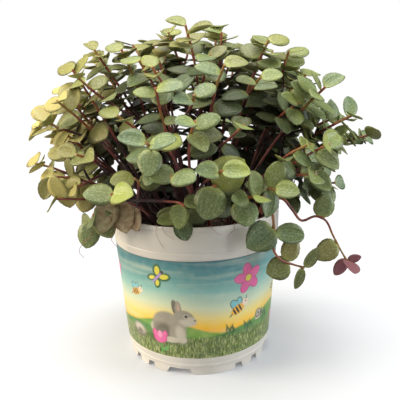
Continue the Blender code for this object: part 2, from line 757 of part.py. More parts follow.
def make_shoot(name, stems, finish):
    """One shoot's solid: its main stem, then its side stems, then every leaf."""
    bm = bmesh.new()
    main = next(s for s in stems if s.host is None)
    places = ring_places(main.points[0], main.frames[0], main.radius(0))
    start = bm.faces.new([bm.verts.new(p) for p in places])
    start.normal_update()
    if start.normal.dot(main.points[1] - main.points[0]) < 0:
        start.normal_flip()
    foot = list(start.verts)
    spans = {main: []}
    grow_tube(bm, start, main, 1, spans[main])
    bm.faces.new(list(reversed(foot)))
    for side in stems:
        if side.host is None:
            continue
        bm.normal_update()
        out = (side.points[1] - side.points[0]).normalized()
        faces = spans[side.host][side.host_span]
        seat = bud(bm, faces, side.points[0], out, out, 0.0009, 0.0008)
        spans[side] = []
        if seat is not None:
            grow_tube(bm, seat, side, 1, spans[side])
    for stem in stems:
        for leaf in stem.leaves:
            bm.normal_update()
            if leaf[6] < len(spans[stem]) and spans[stem][leaf[6]]:
                add_leaf(bm, spans[stem][leaf[6]], leaf)
    return object_of(name, bm, finish, recalculate=False)


# ---------------------------------------------------------------- assembly
def main():
    clear_scene()
    white_plastic = material("white_plastic", (0.80, 0.77, 0.72), 0.45)
    print_film = material("print_film", (0.35, 0.60, 0.55), 0.40)
    damp_mix = material("damp_mix", (0.045, 0.030, 0.020), 0.95)
    foliage = material("foliage", (0.20, 0.30, 0.15), 0.50)

    rng = random.Random(SEED)
    mains = main_stems(rng)
    stems = trailing_stems() + mains
    stems += side_stems(mains, rng)
    settle(stems)
    grow_leaves(stems, rng)

    make_pot(white_plastic)
    make_label(print_film)
    make_potting_mix(damp_mix, [s.points[0] for s in stems if s.host is None])
    for name in dict.fromkeys(s.shoot for s in stems):
        make_shoot(name, [s for s in stems if s.shoot == name], foliage)
    print(len(stems), "stems,", sum(len(s.leaves) for s in stems), "leaves")


main()
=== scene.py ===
# %% [markdown]
# # A turtle vine in its nursery pot
# The plant is a mound of thin red-brown stems with small oval leaves, rooted in a white
# plastic pot that wears a printed film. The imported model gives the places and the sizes:
# the pot, the film, the potting mix and one plain solid for each shoot. The looks are made
# around those solids. The pot and the film are turned again with more detail, the stems
# grow along the same routes, and every leaf becomes a curved blade.

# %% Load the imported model
import math
import random

import bmesh
import bpy
import numpy as np
from mathutils import Matrix, Vector
from mathutils.bvhtree import BVHTree


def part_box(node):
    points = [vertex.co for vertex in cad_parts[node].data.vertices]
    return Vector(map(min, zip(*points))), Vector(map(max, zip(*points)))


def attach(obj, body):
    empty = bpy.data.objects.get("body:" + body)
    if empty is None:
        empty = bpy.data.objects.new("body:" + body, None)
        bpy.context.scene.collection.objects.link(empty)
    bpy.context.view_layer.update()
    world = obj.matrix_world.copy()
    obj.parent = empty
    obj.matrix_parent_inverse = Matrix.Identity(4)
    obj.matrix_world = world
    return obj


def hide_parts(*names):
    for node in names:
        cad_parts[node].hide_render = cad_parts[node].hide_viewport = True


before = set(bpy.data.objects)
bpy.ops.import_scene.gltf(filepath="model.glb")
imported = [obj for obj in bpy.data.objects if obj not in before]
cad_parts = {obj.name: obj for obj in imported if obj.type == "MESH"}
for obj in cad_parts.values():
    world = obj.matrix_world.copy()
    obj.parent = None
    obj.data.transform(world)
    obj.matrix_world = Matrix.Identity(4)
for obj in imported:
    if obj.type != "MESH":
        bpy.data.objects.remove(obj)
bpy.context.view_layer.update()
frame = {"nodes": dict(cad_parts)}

# %% [markdown]
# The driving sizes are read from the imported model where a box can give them. The wall's
# taper, the film's place and the foot's notches are design values of this pot, and are
# repeated here in metres.

# %% Sizes of the pot
pot_low, pot_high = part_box("pot")
film_low, film_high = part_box("printed_label")
mix_low, mix_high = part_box("potting_mix")
POT_HEIGHT = round(pot_high[2], 5)
RIM_RADIUS = round((pot_high[0] - pot_low[0]) / 2, 5)
FILM_TOP, FILM_LOW = film_high[2], film_low[2]
FILM_TOP_RADIUS = 0.0556
FILM_LOW_RADIUS = 0.0506
FILM_THICKNESS = 0.0004
WALL = 0.0012
GAP = 0.0003
FOOT_RADIUS = 0.0482
FLOOR_HEIGHT = 0.0070
SOIL_LEVEL = 0.0915
SOIL_CROWN = 0.0030
SOCKET_DEPTH = 0.0050
print(f"rim {RIM_RADIUS * 2000:.1f} mm across, film {FILM_LOW * 1000:.1f} to {FILM_TOP * 1000:.1f} mm")

# %% [markdown]
# A few small helpers serve everything that is made here. They put an object in the scene,
# turn a BMesh into a mesh, give a point by its angle round the pot's axis, and list the
# faces between rings of points.

# %% Helpers for objects and meshes
def set_out(name, data):
    """A new object in the scene."""
    made = bpy.data.objects.new(name, data)
    bpy.context.scene.collection.objects.link(made)
    return made


def mesh_from(bm, name):
    """Turns a BMesh into a mesh, and frees it."""
    mesh = bpy.data.meshes.new(name)
    bm.to_mesh(mesh)
    bm.free()
    return mesh


def round_axis(radius, turn, height):
    """The point at a radius, an angle and a height round the pot's axis."""
    return (radius * math.cos(turn), radius * math.sin(turn), height)


def between_rings(rings, size, first=0):
    """Faces between neighbouring rings of points, each of one size."""
    return [(a + k, a + size + k, a + size + (k + 1) % size, a + (k + 1) % size)
            for a in range(first, first + (rings - 1) * size, size) for k in range(size)]


def millimetres(points):
    """Points given in millimetres, as vectors in metres."""
    return [Vector(p) * 0.001 for p in points]


print("faces between two rings of four:", len(between_rings(2, 4)))

# %% [markdown]
# The camera stands in front, a little above the leaves, and looks down on the pot with a
# normal lens. It is turned by three small angles, so its rotation is written as a product
# of three plain turns instead of a target to look at.

# %% Camera
EYE = Vector((0.0, -0.3485, 0.1913))
LOOK_DOWN, LOOK_RIGHT, ROLL = 0.245, 0.0084, -0.022
SENSOR_WIDTH, FOCAL_LENGTH = 36.0, 47.14
lens = bpy.data.cameras.new("camera")
lens.sensor_width = SENSOR_WIDTH
lens.lens = FOCAL_LENGTH
camera = set_out("camera", lens)
camera.matrix_world = (Matrix.Translation(EYE) @ Matrix.Rotation(-LOOK_RIGHT, 4, "Z")
                       @ Matrix.Rotation(math.pi / 2 - LOOK_DOWN, 4, "X")
                       @ Matrix.Rotation(ROLL, 4, "Z"))
bpy.context.scene.camera = camera
bpy.context.scene.view_settings.view_transform = "Standard"
print("camera at", tuple(round(x, 3) for x in camera.location))

# %% [markdown]
# Materials and Geometry Nodes trees are both built from nodes, so the same helpers serve
# both. The first adds a node, sets its properties and fills its sockets: a value is set on
# the socket, and another node's output is linked to it. The others each add one common
# node and give its output.

# %% Helpers for nodes
def add(tree, kind, inputs=None, **settings):
    """Adds a node to a tree, with its properties and its inputs."""
    made = tree.nodes.new(kind)
    for key, value in settings.items():
        setattr(made, key, value)
    for key, value in (inputs or {}).items():
        if isinstance(value, bpy.types.NodeSocket):
            tree.links.new(value, made.inputs[key])
        else:
            made.inputs[key].default_value = value
    return made


def calc(tree, operation, *values):
    """The output of one Math node."""
    made = add(tree, "ShaderNodeMath", dict(enumerate(values)), operation=operation)
    return made.outputs[0]


def blend(tree, factor, first, second):
    """The output of one Mix Color node."""
    made = add(tree, "ShaderNodeMix", {0: factor, 6: first, 7: second}, data_type="RGBA")
    return made.outputs[2]


def ramp(tree, factor, *stops):
    """The colour output of a Color Ramp with (place, red, green, blue) stops."""
    made = add(tree, "ShaderNodeValToRGB", {0: factor})
    elements = made.color_ramp.elements
    while len(elements) < len(stops):
        elements.new(0.5)
    for element, (place, *colour) in zip(elements, stops):
        element.position = place
        element.color = paint(*colour)
    return made.outputs[0]


def fade(tree, value, low, high, start=0.0, end=1.0, **settings):
    """The output of one Map Range node: from low to high, the value goes from start to end."""
    made = add(tree, "ShaderNodeMapRange", {"Value": value, "From Min": low, "From Max": high,
                                            "To Min": start, "To Max": end}, **settings)
    return made.outputs[0]


def vector(tree, operation, *values):
    """The output of one Vector Math node."""
    made = add(tree, "ShaderNodeVectorMath", dict(enumerate(values)), operation=operation)
    return made.outputs["Value" if operation == "LENGTH" else "Vector"]


def object_place(tree):
    """The place on the piece, in metres."""
    return add(tree, "ShaderNodeTexCoord").outputs["Object"]


def split(tree, value):
    """A vector's parts."""
    return add(tree, "ShaderNodeSeparateXYZ", {0: value}).outputs


def paint(red, green, blue):
    """A colour given in everyday 0 to 255 values, as the linear values that shaders use."""
    return (*((v / 255 / 12.92) if v <= 10 else ((v / 255 + 0.055) / 1.055) ** 2.4
              for v in (red, green, blue)), 1.0)


def new_material(name, **constants):
    """A material with its Principled shader, whose constants are set on its own sockets."""
    made = bpy.data.materials.new(name)
    made.use_nodes = True
    shader = made.node_tree.nodes["Principled BSDF"]
    for key, value in constants.items():
        shader.inputs[key.replace("_", " ")].default_value = value
    return made, made.node_tree, shader


def new_group(name, kind, inputs, output):
    """A node group with named inputs and one output, and the sockets at its two ends."""
    tree = bpy.data.node_groups.new(name, kind)
    for label, socket, *value in inputs:
        made = tree.interface.new_socket(label, in_out="INPUT", socket_type=f"NodeSocket{socket}")
        if value:
            made.default_value = value[0]
    label, socket = output
    tree.interface.new_socket(label, in_out="OUTPUT", socket_type=f"NodeSocket{socket}")
    return tree, tree.nodes.new("NodeGroupInput").outputs, tree.nodes.new("NodeGroupOutput").inputs[0]


print("node helpers ready")

# %% [markdown]
# The plant stands on a pale sweep under soft studio light: a broad box above, a warm one on
# the left, a cool one on the right and a weak one in front, so that the round pot shades
# towards its middle. Far from the pot the floor gives off the same white as the world, so
# that no horizon shows. Near the pot it glows faintly too, a painted light that lifts its
# shadow. Both light the plant far less than they show.

# %% Floor, world and lights
BLACK, WHITE = (0.0, 0.0, 0.0, 1.0), (1.0, 1.0, 1.0, 1.0)
AMBIENT = 0.22
FLOOR_RADIUS, FADE_FROM, FADE_TO = 6.0, 0.02, 0.26
PLANT_MIDDLE = Vector((0, 0, 0.12))
SOFTBOXES = {  # place, size, power in watts, colour
    "top_box": ((-0.10, 0.02, 1.10), 1.1, 18.0, (1.0, 0.98, 0.93)),
    "left_box": ((-0.98, -0.12, 0.36), 0.5, 12.0, (1.0, 0.88, 0.70)),
    "right_box": ((0.98, -0.14, 0.30), 0.5, 7.5, (0.90, 0.95, 1.0)),
    "front_box": ((-0.25, -1.00, 0.70), 0.8, 2.6, (1.0, 1.0, 1.0)),
}


def shown_strength(tree):
    """Full strength to the camera, and the weak ambient strength to everything else."""
    seen = add(tree, "ShaderNodeLightPath").outputs["Is Camera Ray"]
    return calc(tree, "MULTIPLY_ADD", seen, 1.0 - AMBIENT, AMBIENT)


world = bpy.data.worlds.new("studio")
bpy.context.scene.world = world
world.use_nodes = True
sky = world.node_tree
sky.nodes["Background"].inputs["Color"].default_value = WHITE
sky.links.new(shown_strength(sky), sky.nodes["Background"].inputs["Strength"])

floor_finish, tree, shader = new_material("pale_floor", Roughness=0.9)
far = fade(tree, vector(tree, "LENGTH", object_place(tree)), FADE_FROM, FADE_TO,
           interpolation_type="SMOOTHSTEP")
tree.links.new(shown_strength(tree), shader.inputs["Emission Strength"])
tree.links.new(blend(tree, far, paint(206, 208, 212), BLACK), shader.inputs["Base Color"])
# Painted light: near the pot the floor glows faintly grey, which lifts its shadow; far off it glows
# white like the world.
tree.links.new(blend(tree, far, paint(96, 98, 99), WHITE), shader.inputs["Emission Color"])
bm = bmesh.new()
bmesh.ops.create_circle(bm, cap_ends=True, segments=96, radius=FLOOR_RADIUS)
floor = set_out("floor", mesh_from(bm, "floor"))
floor.data.materials.append(floor_finish)

for name, (place, size, power, colour) in SOFTBOXES.items():
    lamp = bpy.data.lights.new(name, "AREA")
    lamp.size, lamp.energy, lamp.color = size, power, colour
    box = set_out(name, lamp)
    box.location = place
    box.rotation_euler = (PLANT_MIDDLE - Vector(place)).to_track_quat("-Z", "Y").to_euler()
print("studio ready:", len(SOFTBOXES), "lights")

# %% [markdown]
# Several finishes share the same soft cloudiness: plastic that is not quite one shade, film
# that has faded here and there, leaves and soil. It is built once as a shader node group
# that puts out a mask from 0 to 1, and each material places it with its own scale.

# %% Shader group: cloudiness
clouds, ends, out = new_group(
    "clouds", "ShaderNodeTree",
    [("Scale", "Float", 40.0), ("Detail", "Float", 3.0), ("Low", "Float", 0.4), ("High", "Float", 0.6)],
    ("Mask", "Float"))
noise = add(clouds, "ShaderNodeTexNoise", {"Vector": object_place(clouds), "Scale": ends["Scale"],
                                           "Detail": ends["Detail"]})
clouds.links.new(fade(clouds, noise.outputs[0], ends["Low"], ends["High"]), out)


def cloudy(tree, scale, low=0.4, high=0.6, detail=3.0):
    """Places the cloudiness group in a material and returns its mask."""
    made = add(tree, "ShaderNodeGroup", {"Scale": scale, "Detail": detail, "Low": low, "High": high},
               node_tree=clouds)
    return made.outputs[0]


def bump(tree, shader, height, strength, distance):
    """Feeds a height through a Bump node into the shader's normal."""
    made = add(tree, "ShaderNodeBump", {"Height": height, "Strength": strength,
                                        "Distance": distance})
    tree.links.new(made.outputs[0], shader.inputs["Normal"])


print("group", clouds.name, "has sockets", [s.name for s in clouds.interface.items_tree])

# %% [markdown]
# The pot is one thin moulding, white but a little creamy. It is slightly darker, in patches,
# towards the foot, and the moulding has a fine orange-peel grain.

# %% Finish of the pot
plastic, tree, shader = new_material("white_plastic", Roughness=0.38, Specular_IOR_Level=0.4)
# Slightly darker, in patches, within 13 mm of the floor.
low_darkening = fade(tree, split(tree, object_place(tree))["Z"], 0.013, 0.0, end=0.18)
foot_darkening = calc(tree, "MULTIPLY", low_darkening, cloudy(tree, 160, 0.42, 0.66))
white = blend(tree, cloudy(tree, 45), paint(218, 213, 204), paint(210, 205, 195))
tree.links.new(blend(tree, foot_darkening, white, paint(176, 166, 148)), shader.inputs["Base Color"])
bump(tree, shader, cloudy(tree, 900, 0.3, 0.7), 0.08, 0.0002)

# %% [markdown]
# A turned part is drawn as half a section and carried round the axis. The same function
# turns the pot and the film: a grid of points, one column for each step round, with a UV
# map of the turn and the height. The foot is a ring with notches cut up into it. Only the
# lowest points of the section have to know: they are lifted wherever a notch stands over
# them, along slopes a little over a millimetre wide.

# %% The pot's foot and the turning function
FOOT_TURN = -105.5
FOOT_NOTCHES = ((0.0, 0.0155), (47.5, 0.0055), (64.5, 0.0055))
NOTCH_HEIGHT = 0.0042
TURN_STEPS = 480


def smooth(value):
    """An S-shaped step from 0 to 1."""
    value = min(max(value, 0.0), 1.0)
    return value * value * (3 - 2 * value)


def foot_lift(turn):
    """How high the foot's lower edge stands at an angle round the pot."""
    lift = 0.0
    for quarter in range(4):
        for on, width in FOOT_NOTCHES:
            centre = math.radians(FOOT_TURN + 90 * quarter + on)
            apart = abs((turn - centre + math.pi) % math.tau - math.pi) * FOOT_RADIUS
            lift = max(lift, smooth((0.62 * width - apart) / (0.22 * width)))
    return NOTCH_HEIGHT * lift


def turned(name, section, steps, finish, lift=None):
    """Turns a section of (radius, height) points into a named piece."""
    bm = bmesh.new()
    sheet = bm.loops.layers.uv.new("UVMap")
    columns = []
    for k in range(steps):
        turn = math.tau * k / steps
        raised = lift(turn) if lift else 0.0
        columns.append([bm.verts.new(round_axis(r, turn, max(z, raised))) for r, z in section])
    for k in range(steps):
        here, beyond = columns[k], columns[(k + 1) % steps]
        for j in range(len(section)):
            n = (j + 1) % len(section)
            face = bm.faces.new((here[j], here[n], beyond[n], beyond[j]))
            for loop, (step, row) in zip(face.loops, ((k, j), (k, n), (k + 1, n), (k + 1, j))):
                share = (section[row][1] - FILM_LOW) / (FILM_TOP - FILM_LOW)
                loop[sheet].uv = (step / steps, share)
    bmesh.ops.remove_doubles(bm, verts=bm.verts, dist=1e-6)
    bmesh.ops.recalc_face_normals(bm, faces=bm.faces)
    mesh = mesh_from(bm, name)
    mesh.materials.append(finish)
    mesh.shade_smooth()
    mesh.set_sharp_from_angle(angle=math.radians(35))
    return set_out(name, mesh)


print("lift over a wide notch:", round(foot_lift(math.radians(FOOT_TURN)) * 1000, 2), "mm")

# %% [markdown]
# The section of the pot is thin all the way: a rolled lip, a band with two fine grooves,
# the wall that the film covers, a small step above the foot, and back up the inside. The
# six drain holes are cut through the raised floor with a Boolean, because they go across
# the turning.

# %% The pot
def wall_radius(z):
    """Outer radius of the wall under the film."""
    share = (z - FILM_LOW) / (FILM_TOP - FILM_LOW)
    outside = FILM_LOW_RADIUS + share * (FILM_TOP_RADIUS - FILM_LOW_RADIUS)
    return outside - FILM_THICKNESS - GAP


def groove(radius, z, depth=0.00035, half=0.00045):
    """Section points of a fine groove in a face."""
    return [(radius, z + 2 * half), (radius - 0.25 * depth, z + half), (radius - depth, z),
            (radius - 0.25 * depth, z - half), (radius, z - 2 * half)]


def from_here(radius, height, *steps):
    """Section points, in tenths of a millimetre out and up from a radius and a height."""
    return [(radius + out * 0.0001, height + up * 0.0001) for out, up in steps]


TOP = POT_HEIGHT
BAND_LOW = FILM_TOP + 2 * GAP
DRAIN_RING = 0.0300
UNDERSIDE = 0.0058
lip = from_here(RIM_RADIUS, TOP, (-18, -12), (-17, -5), (-13, -1), (-9, 0), (-4, -1), (-1, -4),
                (0, -9), (-1, -16))
band = groove(RIM_RADIUS - 0.0002, TOP - 0.0030)
band += groove(FILM_TOP_RADIUS + 0.0006, BAND_LOW + 0.0048)
band += from_here(FILM_TOP_RADIUS, BAND_LOW, (5, 6), (3, 1), (-1, 0))
wall = [(wall_radius(BAND_LOW), BAND_LOW - GAP / 2), (wall_radius(FILM_LOW), FILM_LOW - GAP / 2)]
foot = from_here(FILM_LOW_RADIUS, FILM_LOW, (-3, -3), (-1, -8))
foot += groove(FOOT_RADIUS + 0.0014, 0.0084, 0.0003)
foot += from_here(FOOT_RADIUS, 0.0, (11, 64), (9, 60), (4, 57), (3, 53), (2, 3), (-1, 0))
under = from_here(FOOT_RADIUS, 0.0, (-12, 0), (-15, 3), (-16, 50), (-22, 58))
under += [(DRAIN_RING, UNDERSIDE), (0.0, UNDERSIDE), (0.0, FLOOR_HEIGHT)]
inner = [(DRAIN_RING, FLOOR_HEIGHT), (FOOT_RADIUS - WALL, FLOOR_HEIGHT),
         (wall_radius(FILM_LOW) - WALL, FILM_LOW), (wall_radius(BAND_LOW) - WALL, BAND_LOW),
         (RIM_RADIUS - 0.0028, TOP - 0.0050)]
pot = turned("nursery_pot", lip + band + wall + foot + under + inner, TURN_STEPS, plastic, foot_lift)


def drain_posts(count=6, radius=0.0035):
    """Posts that stand where the drain holes go."""
    bm = bmesh.new()
    for i in range(count):
        turn = math.tau * (i + 0.25) / count
        post = bmesh.ops.create_cone(bm, cap_ends=True, segments=32, depth=0.012,
                                     radius1=radius, radius2=radius)
        bmesh.ops.translate(bm, verts=post["verts"], vec=round_axis(DRAIN_RING, turn, FLOOR_HEIGHT))
    return set_out("drain_posts", mesh_from(bm, "drain_posts"))


def result_of(piece):
    """What a piece's modifiers make of it, as a plain mesh."""
    seen = piece.evaluated_get(bpy.context.evaluated_depsgraph_get())
    return bpy.data.meshes.new_from_object(seen)


posts = drain_posts()
holes = pot.modifiers.new("drain_holes", "BOOLEAN")
holes.object = posts
cut = result_of(pot)
pot.modifiers.clear()
pot.data = cut
bpy.data.objects.remove(posts)
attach(pot, "root")
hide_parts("pot")
print("pot:", len(pot.data.polygons), "faces")

# %% [markdown]
# The film carries a printed meadow at sunset. A print has no thickness of its own, so it
# is painted in the material: sky, glow, hills and grass are colours by height, and every
# small motif is a few soft-edged ellipses. One shader node group gives an ellipse's mask
# from its centre, its half sizes and its turn, all in millimetres on the film, and a
# function lays the ellipses over each other. The picture is printed twice round the pot.

# %% Shader group: one printed ellipse
ellipse, ends, out = new_group(
    "ellipse", "ShaderNodeTree",
    [("Place", "Vector"), ("Centre", "Vector"), ("Half Size", "Vector", (1, 1, 1)),
     ("Turn", "Float", 0.0), ("Softness", "Float", 0.1)],
    ("Mask", "Float"))
moved = vector(ellipse, "SUBTRACT", ends["Place"], ends["Centre"])
straight = add(ellipse, "ShaderNodeVectorRotate", {"Vector": moved, "Angle": ends["Turn"]},
               rotation_type="Z_AXIS")
reach = vector(ellipse, "LENGTH", vector(ellipse, "DIVIDE", straight.outputs[0], ends["Half Size"]))
ellipse.links.new(fade(ellipse, reach, calc(ellipse, "SUBTRACT", 1.0, ends["Softness"]),
                       calc(ellipse, "ADD", 1.0, ends["Softness"]), 1.0, 0.0,
                       interpolation_type="SMOOTHSTEP"), out)


def print_ellipses(tree, colour, place, shapes):
    """Lays (x, y, half width, half height, turn in degrees, softness, colour) over a colour."""
    for x, y, half_x, half_y, turn, softness, ink in shapes:
        mask = add(tree, "ShaderNodeGroup",
                   {"Place": place, "Centre": (x, y, 0), "Half Size": (half_x, half_y, 1),
                    "Turn": -math.radians(turn), "Softness": softness}, node_tree=ellipse)
        colour = blend(tree, mask.outputs[0], colour, ink)
    return colour


print("group", ellipse.name, "is ready")

# %% [markdown]
# The motifs are lists of ellipses, from the back to the front: a grey-brown rabbit, tulips,
# a butterfly, bees, a snail, pebbles, sprigs and blossoms. Each is drawn round its own
# middle in millimetres, so that it can be printed in several places, larger or leaning.

# %% The printed motifs
FUR, PALE_FUR, DARK_FUR = paint(156, 148, 130), paint(196, 188, 168), paint(108, 100, 84)
INK, LILAC, ROSE = paint(52, 44, 44), paint(176, 140, 200), paint(226, 98, 158)
DEEP_ROSE, LEMON, SKY_INK = paint(196, 62, 120), paint(226, 214, 70), paint(120, 190, 196)
STALK, AMBER, LEAF_INK = paint(88, 160, 70), paint(234, 176, 60), paint(48, 104, 66)


def at(x, y, shapes, size, lean=0.0):
    """Moves, sizes and leans a motif that is drawn round its own middle."""
    cos, sin = math.cos(math.radians(lean)), math.sin(math.radians(lean))
    return [(x + size * (a * cos - b * sin), y + size * (a * sin + b * cos), size * half_a,
             size * half_b, turn + lean, softness, ink)
            for a, b, half_a, half_b, turn, softness, ink in shapes]


def pair(x, y, half_x, half_y, turn, softness, ink):
    """Two mirrored ellipses, for wings and petals."""
    return [(-x, y, half_x, half_y, turn, softness, ink), (x, y, half_x, half_y, -turn, softness, ink)]


RABBIT = [(-5, -9.5, 11, 2.2, 0, 0.8, paint(66, 92, 44)),
          (-11.5, -3.0, 2.6, 2.8, 0, 0.35, PALE_FUR), (-4.5, -0.5, 8.0, 7.6, 10, 0.12, FUR),
          (-6.5, -4.5, 5.6, 4.6, 0, 0.45, DARK_FUR), (2.0, -3.5, 4.6, 6.4, -10, 0.25, FUR),
          (3.4, -5.4, 2.6, 5.0, 8, 0.5, PALE_FUR), (-1.8, -9.0, 5.0, 1.7, 0, 0.3, PALE_FUR),
          (4.6, -8.6, 2.2, 1.8, 0, 0.3, PALE_FUR), (1.5, 9.2, 1.9, 5.2, 14, 0.15, DARK_FUR),
          (2.8, 8.8, 1.8, 5.0, 4, 0.15, FUR), (2.9, 8.8, 0.8, 3.4, 4, 0.5, paint(196, 164, 142)),
          (5.4, 4.0, 5.6, 4.6, -14, 0.12, FUR), (9.4, 2.4, 2.8, 2.6, 0, 0.3, PALE_FUR),
          (6.3, 1.6, 3.2, 1.9, -10, 0.6, PALE_FUR), (6.6, 5.2, 1.25, 1.25, 0, 0.25, PALE_FUR),
          (6.7, 5.2, 0.85, 0.85, 0, 0.25, INK), (11.3, 3.0, 0.6, 0.45, 0, 0.4, DARK_FUR)]
TULIP = [(0.6, -7.0, 0.5, 5.0, 0, 0.3, STALK), (3.4, -6.6, 3.0, 0.9, 38, 0.3, STALK),
         (0, 0.0, 4.6, 3.6, 0, 0.08, DEEP_ROSE), *pair(3.0, 2.0, 1.9, 3.0, 20, 0.10, DEEP_ROSE),
         *pair(2.9, 1.9, 1.5, 2.6, 20, 0.14, ROSE), (0, -0.3, 3.9, 3.0, 0, 0.12, ROSE),
         (0, 2.0, 1.4, 2.4, 0, 0.2, paint(240, 146, 190))]
BUTTERFLY = [*pair(2.8, 3.2, 2.5, 3.8, 38, 0.06, LEAF_INK),
             *pair(2.4, -2.6, 2.0, 3.0, -30, 0.06, LEAF_INK),
             *pair(2.6, 3.2, 1.5, 2.6, 38, 0.15, LEMON),
             *pair(2.2, -2.6, 1.1, 1.9, -30, 0.15, LEMON),
             (0, 0, 0.75, 4.4, 0, 0.2, LILAC), (0, 4.6, 0.9, 0.9, 0, 0.2, INK)]
BEE = [(-1.4, 3.6, 2.3, 3.0, 22, 0.08, INK), (1.8, 4.0, 1.8, 2.7, -8, 0.08, INK),
       (-1.4, 3.6, 1.9, 2.6, 22, 0.12, SKY_INK), (1.8, 4.0, 1.4, 2.3, -8, 0.12, SKY_INK),
       (0, 0, 4.4, 2.5, 16, 0.08, AMBER), (-2.2, -0.6, 0.55, 2.2, 16, 0.3, INK),
       (-0.4, -0.1, 0.55, 2.5, 16, 0.3, INK), (1.4, 0.4, 0.55, 2.4, 16, 0.3, INK),
       (-4.6, -1.9, 1.2, 0.35, 30, 0.3, INK), (5.0, 2.0, 1.9, 1.9, 0, 0.15, paint(238, 214, 190)),
       (5.5, 2.3, 0.4, 0.4, 0, 0.3, INK), (6.2, 4.4, 0.25, 1.4, -30, 0.3, INK)]
SNAIL = [(0.8, -2.4, 3.6, 1.0, 8, 0.3, paint(216, 200, 176)), (-0.4, 0, 2.7, 2.8, 0, 0.12, DARK_FUR),
         (-0.2, 0.2, 1.9, 2.0, 0, 0.4, paint(190, 182, 164)), (-0.3, 0.1, 0.8, 0.9, 0, 0.4, DARK_FUR),
         (4.2, -0.8, 0.9, 1.3, 0, 0.2, PALE_FUR)]
PEBBLE = [(0, 0, 5.2, 3.9, -8, 0.15, DARK_FUR), (0.3, 0.8, 4.0, 2.6, -8, 0.5, paint(196, 190, 172)),
          (0.6, -0.6, 2.0, 1.4, 0, 0.8, DARK_FUR)]
PETALS, PETAL_REACH = 5, 4.6
BLOSSOM = [(PETAL_REACH * math.sin(math.tau * k / PETALS), PETAL_REACH * math.cos(math.tau * k / PETALS),
            half_x, half_y, -360 / PETALS * k, softness, ink)
           for half_x, half_y, softness, ink in ((2.9, 4.3, 0.07, DEEP_ROSE), (2.4, 3.8, 0.12, ROSE))
           for k in range(PETALS)]
BLOSSOM += [(0, 0, 2.3, 2.3, 0, 0.1, DEEP_ROSE), (0, 0, 1.9, 1.9, 0, 0.15, LEMON)]
SPRIG = [(k - 2.5, 0.9 * math.sin(2.3 * k), 0.5, 2.4 + 0.5 * math.sin(k), 24 * math.sin(1.7 * k),
          0.8, paint(44, 92, 44)) for k in range(6)]
PRINTED = ((-16, 23.5, RABBIT, 1.22), (-26.5, 12.8, TULIP, 1.12), (-25, 55, BUTTERFLY, 1.12, -42),
           (-44, 41, BEE, 0.98, 6), (26, 31.5, BEE, 1.22, 14), (45, 23, SNAIL, 1.2),
           (-45, 13.5, PEBBLE, 1.25), (33, 51.5, BLOSSOM, 1.18, 12), (21, 18.5, SPRIG, 1.1),
           (35, 18, SPRIG, 1.2, 8), (51, 21, SPRIG, 1.3, -6), (-71, 50, BLOSSOM, 0.8),
           (66, 34, BUTTERFLY, 0.7, 30), (70, 12, TULIP, 0.8))
motifs = [shape for values in PRINTED for shape in at(*values)]
print(len(motifs), "ellipses in the print")

# %% [markdown]
# Under the motifs the colours go by height: grass at the bottom, two hills, the yellow glow
# above them, then pale green air and a teal sky with thin streaks of cloud.

# %% Finish of the film
film_finish, tree, shader = new_material("print_film", Roughness=0.34)
PRINTS_ROUND = 2
FILM_HEIGHT_MM = (FILM_TOP - FILM_LOW) * 1000
FILM_ROUND_MM = math.pi * (FILM_TOP_RADIUS + FILM_LOW_RADIUS) * 1000
sheet = split(tree, add(tree, "ShaderNodeUVMap", uv_map="UVMap").outputs[0])
turns = calc(tree, "FRACT", calc(tree, "MULTIPLY_ADD", sheet["X"], float(PRINTS_ROUND), 1.0))
print_x = calc(tree, "MULTIPLY", calc(tree, "SUBTRACT", turns, 0.5), FILM_ROUND_MM / PRINTS_ROUND)
print_y = calc(tree, "MULTIPLY", sheet["Y"], FILM_HEIGHT_MM)
place = add(tree, "ShaderNodeCombineXYZ", {0: print_x, 1: print_y}).outputs[0]
PRINT_WAVE = math.tau * PRINTS_ROUND / FILM_ROUND_MM
wave = calc(tree, "SINE", calc(tree, "MULTIPLY", print_x, 2 * PRINT_WAVE))
drift = calc(tree, "MULTIPLY_ADD", wave, 1.6, print_y)
colour = ramp(tree, calc(tree, "DIVIDE", drift, FILM_HEIGHT_MM),
              (0.28, 248, 176, 16), (0.35, 250, 198, 54), (0.43, 238, 214, 122),
              (0.54, 206, 216, 182), (0.68, 142, 190, 178), (0.84, 90, 150, 150),
              (1.00, 62, 120, 130))


def drawn_noise(tree, per_metre, **inputs):
    """Noise drawn out along the axes: how often it changes in a metre of each."""
    place = vector(tree, "MULTIPLY", object_place(tree), per_metre)
    made = add(tree, "ShaderNodeTexNoise", {"Vector": place, "Scale": 1.0, **inputs})
    return made.outputs[0]


def hill(tree, colour, level, swing, phase, ink, waves=2, softness=0.8):
    """A hill under a wavy line: level and swing in millimetres, whole waves in each print."""
    angle = calc(tree, "MULTIPLY_ADD", print_x, waves * PRINT_WAVE, phase)
    line = calc(tree, "MULTIPLY_ADD", calc(tree, "SINE", angle), swing, level)
    mask = fade(tree, print_y, calc(tree, "SUBTRACT", line, softness),
                calc(tree, "ADD", line, softness), 1.0, 0.0)
    return blend(tree, mask, colour, ink)


streaks = drawn_noise(tree, (18.0, 18.0, 220.0), Detail=4.0)
colour = blend(tree, fade(tree, streaks, 0.50, 0.72, end=0.42), colour, paint(214, 218, 190))
far_hill = blend(tree, cloudy(tree, 55), paint(96, 150, 52), paint(134, 170, 58))
meadow = blend(tree, cloudy(tree, 70, 0.35, 0.65), paint(48, 108, 46), paint(92, 148, 56))
colour = hill(tree, colour, 21.5, 4.5, 3.3, far_hill)
colour = hill(tree, colour, 17.5, 3.0, -1.6, meadow)
grass = drawn_noise(tree, (900.0, 900.0, 320.0), Detail=5.0, Roughness=0.7)
grass_ink = ramp(tree, grass, (0.34, 40, 60, 22), (0.46, 84, 106, 40),
                 (0.56, 132, 146, 72), (0.70, 206, 206, 160))
grass_line = calc(tree, "MULTIPLY_ADD", grass, 7.0, 9.5)
grass_mask = fade(tree, print_y, grass_line, calc(tree, "ADD", grass_line, 3.0), 1.0, 0.0)
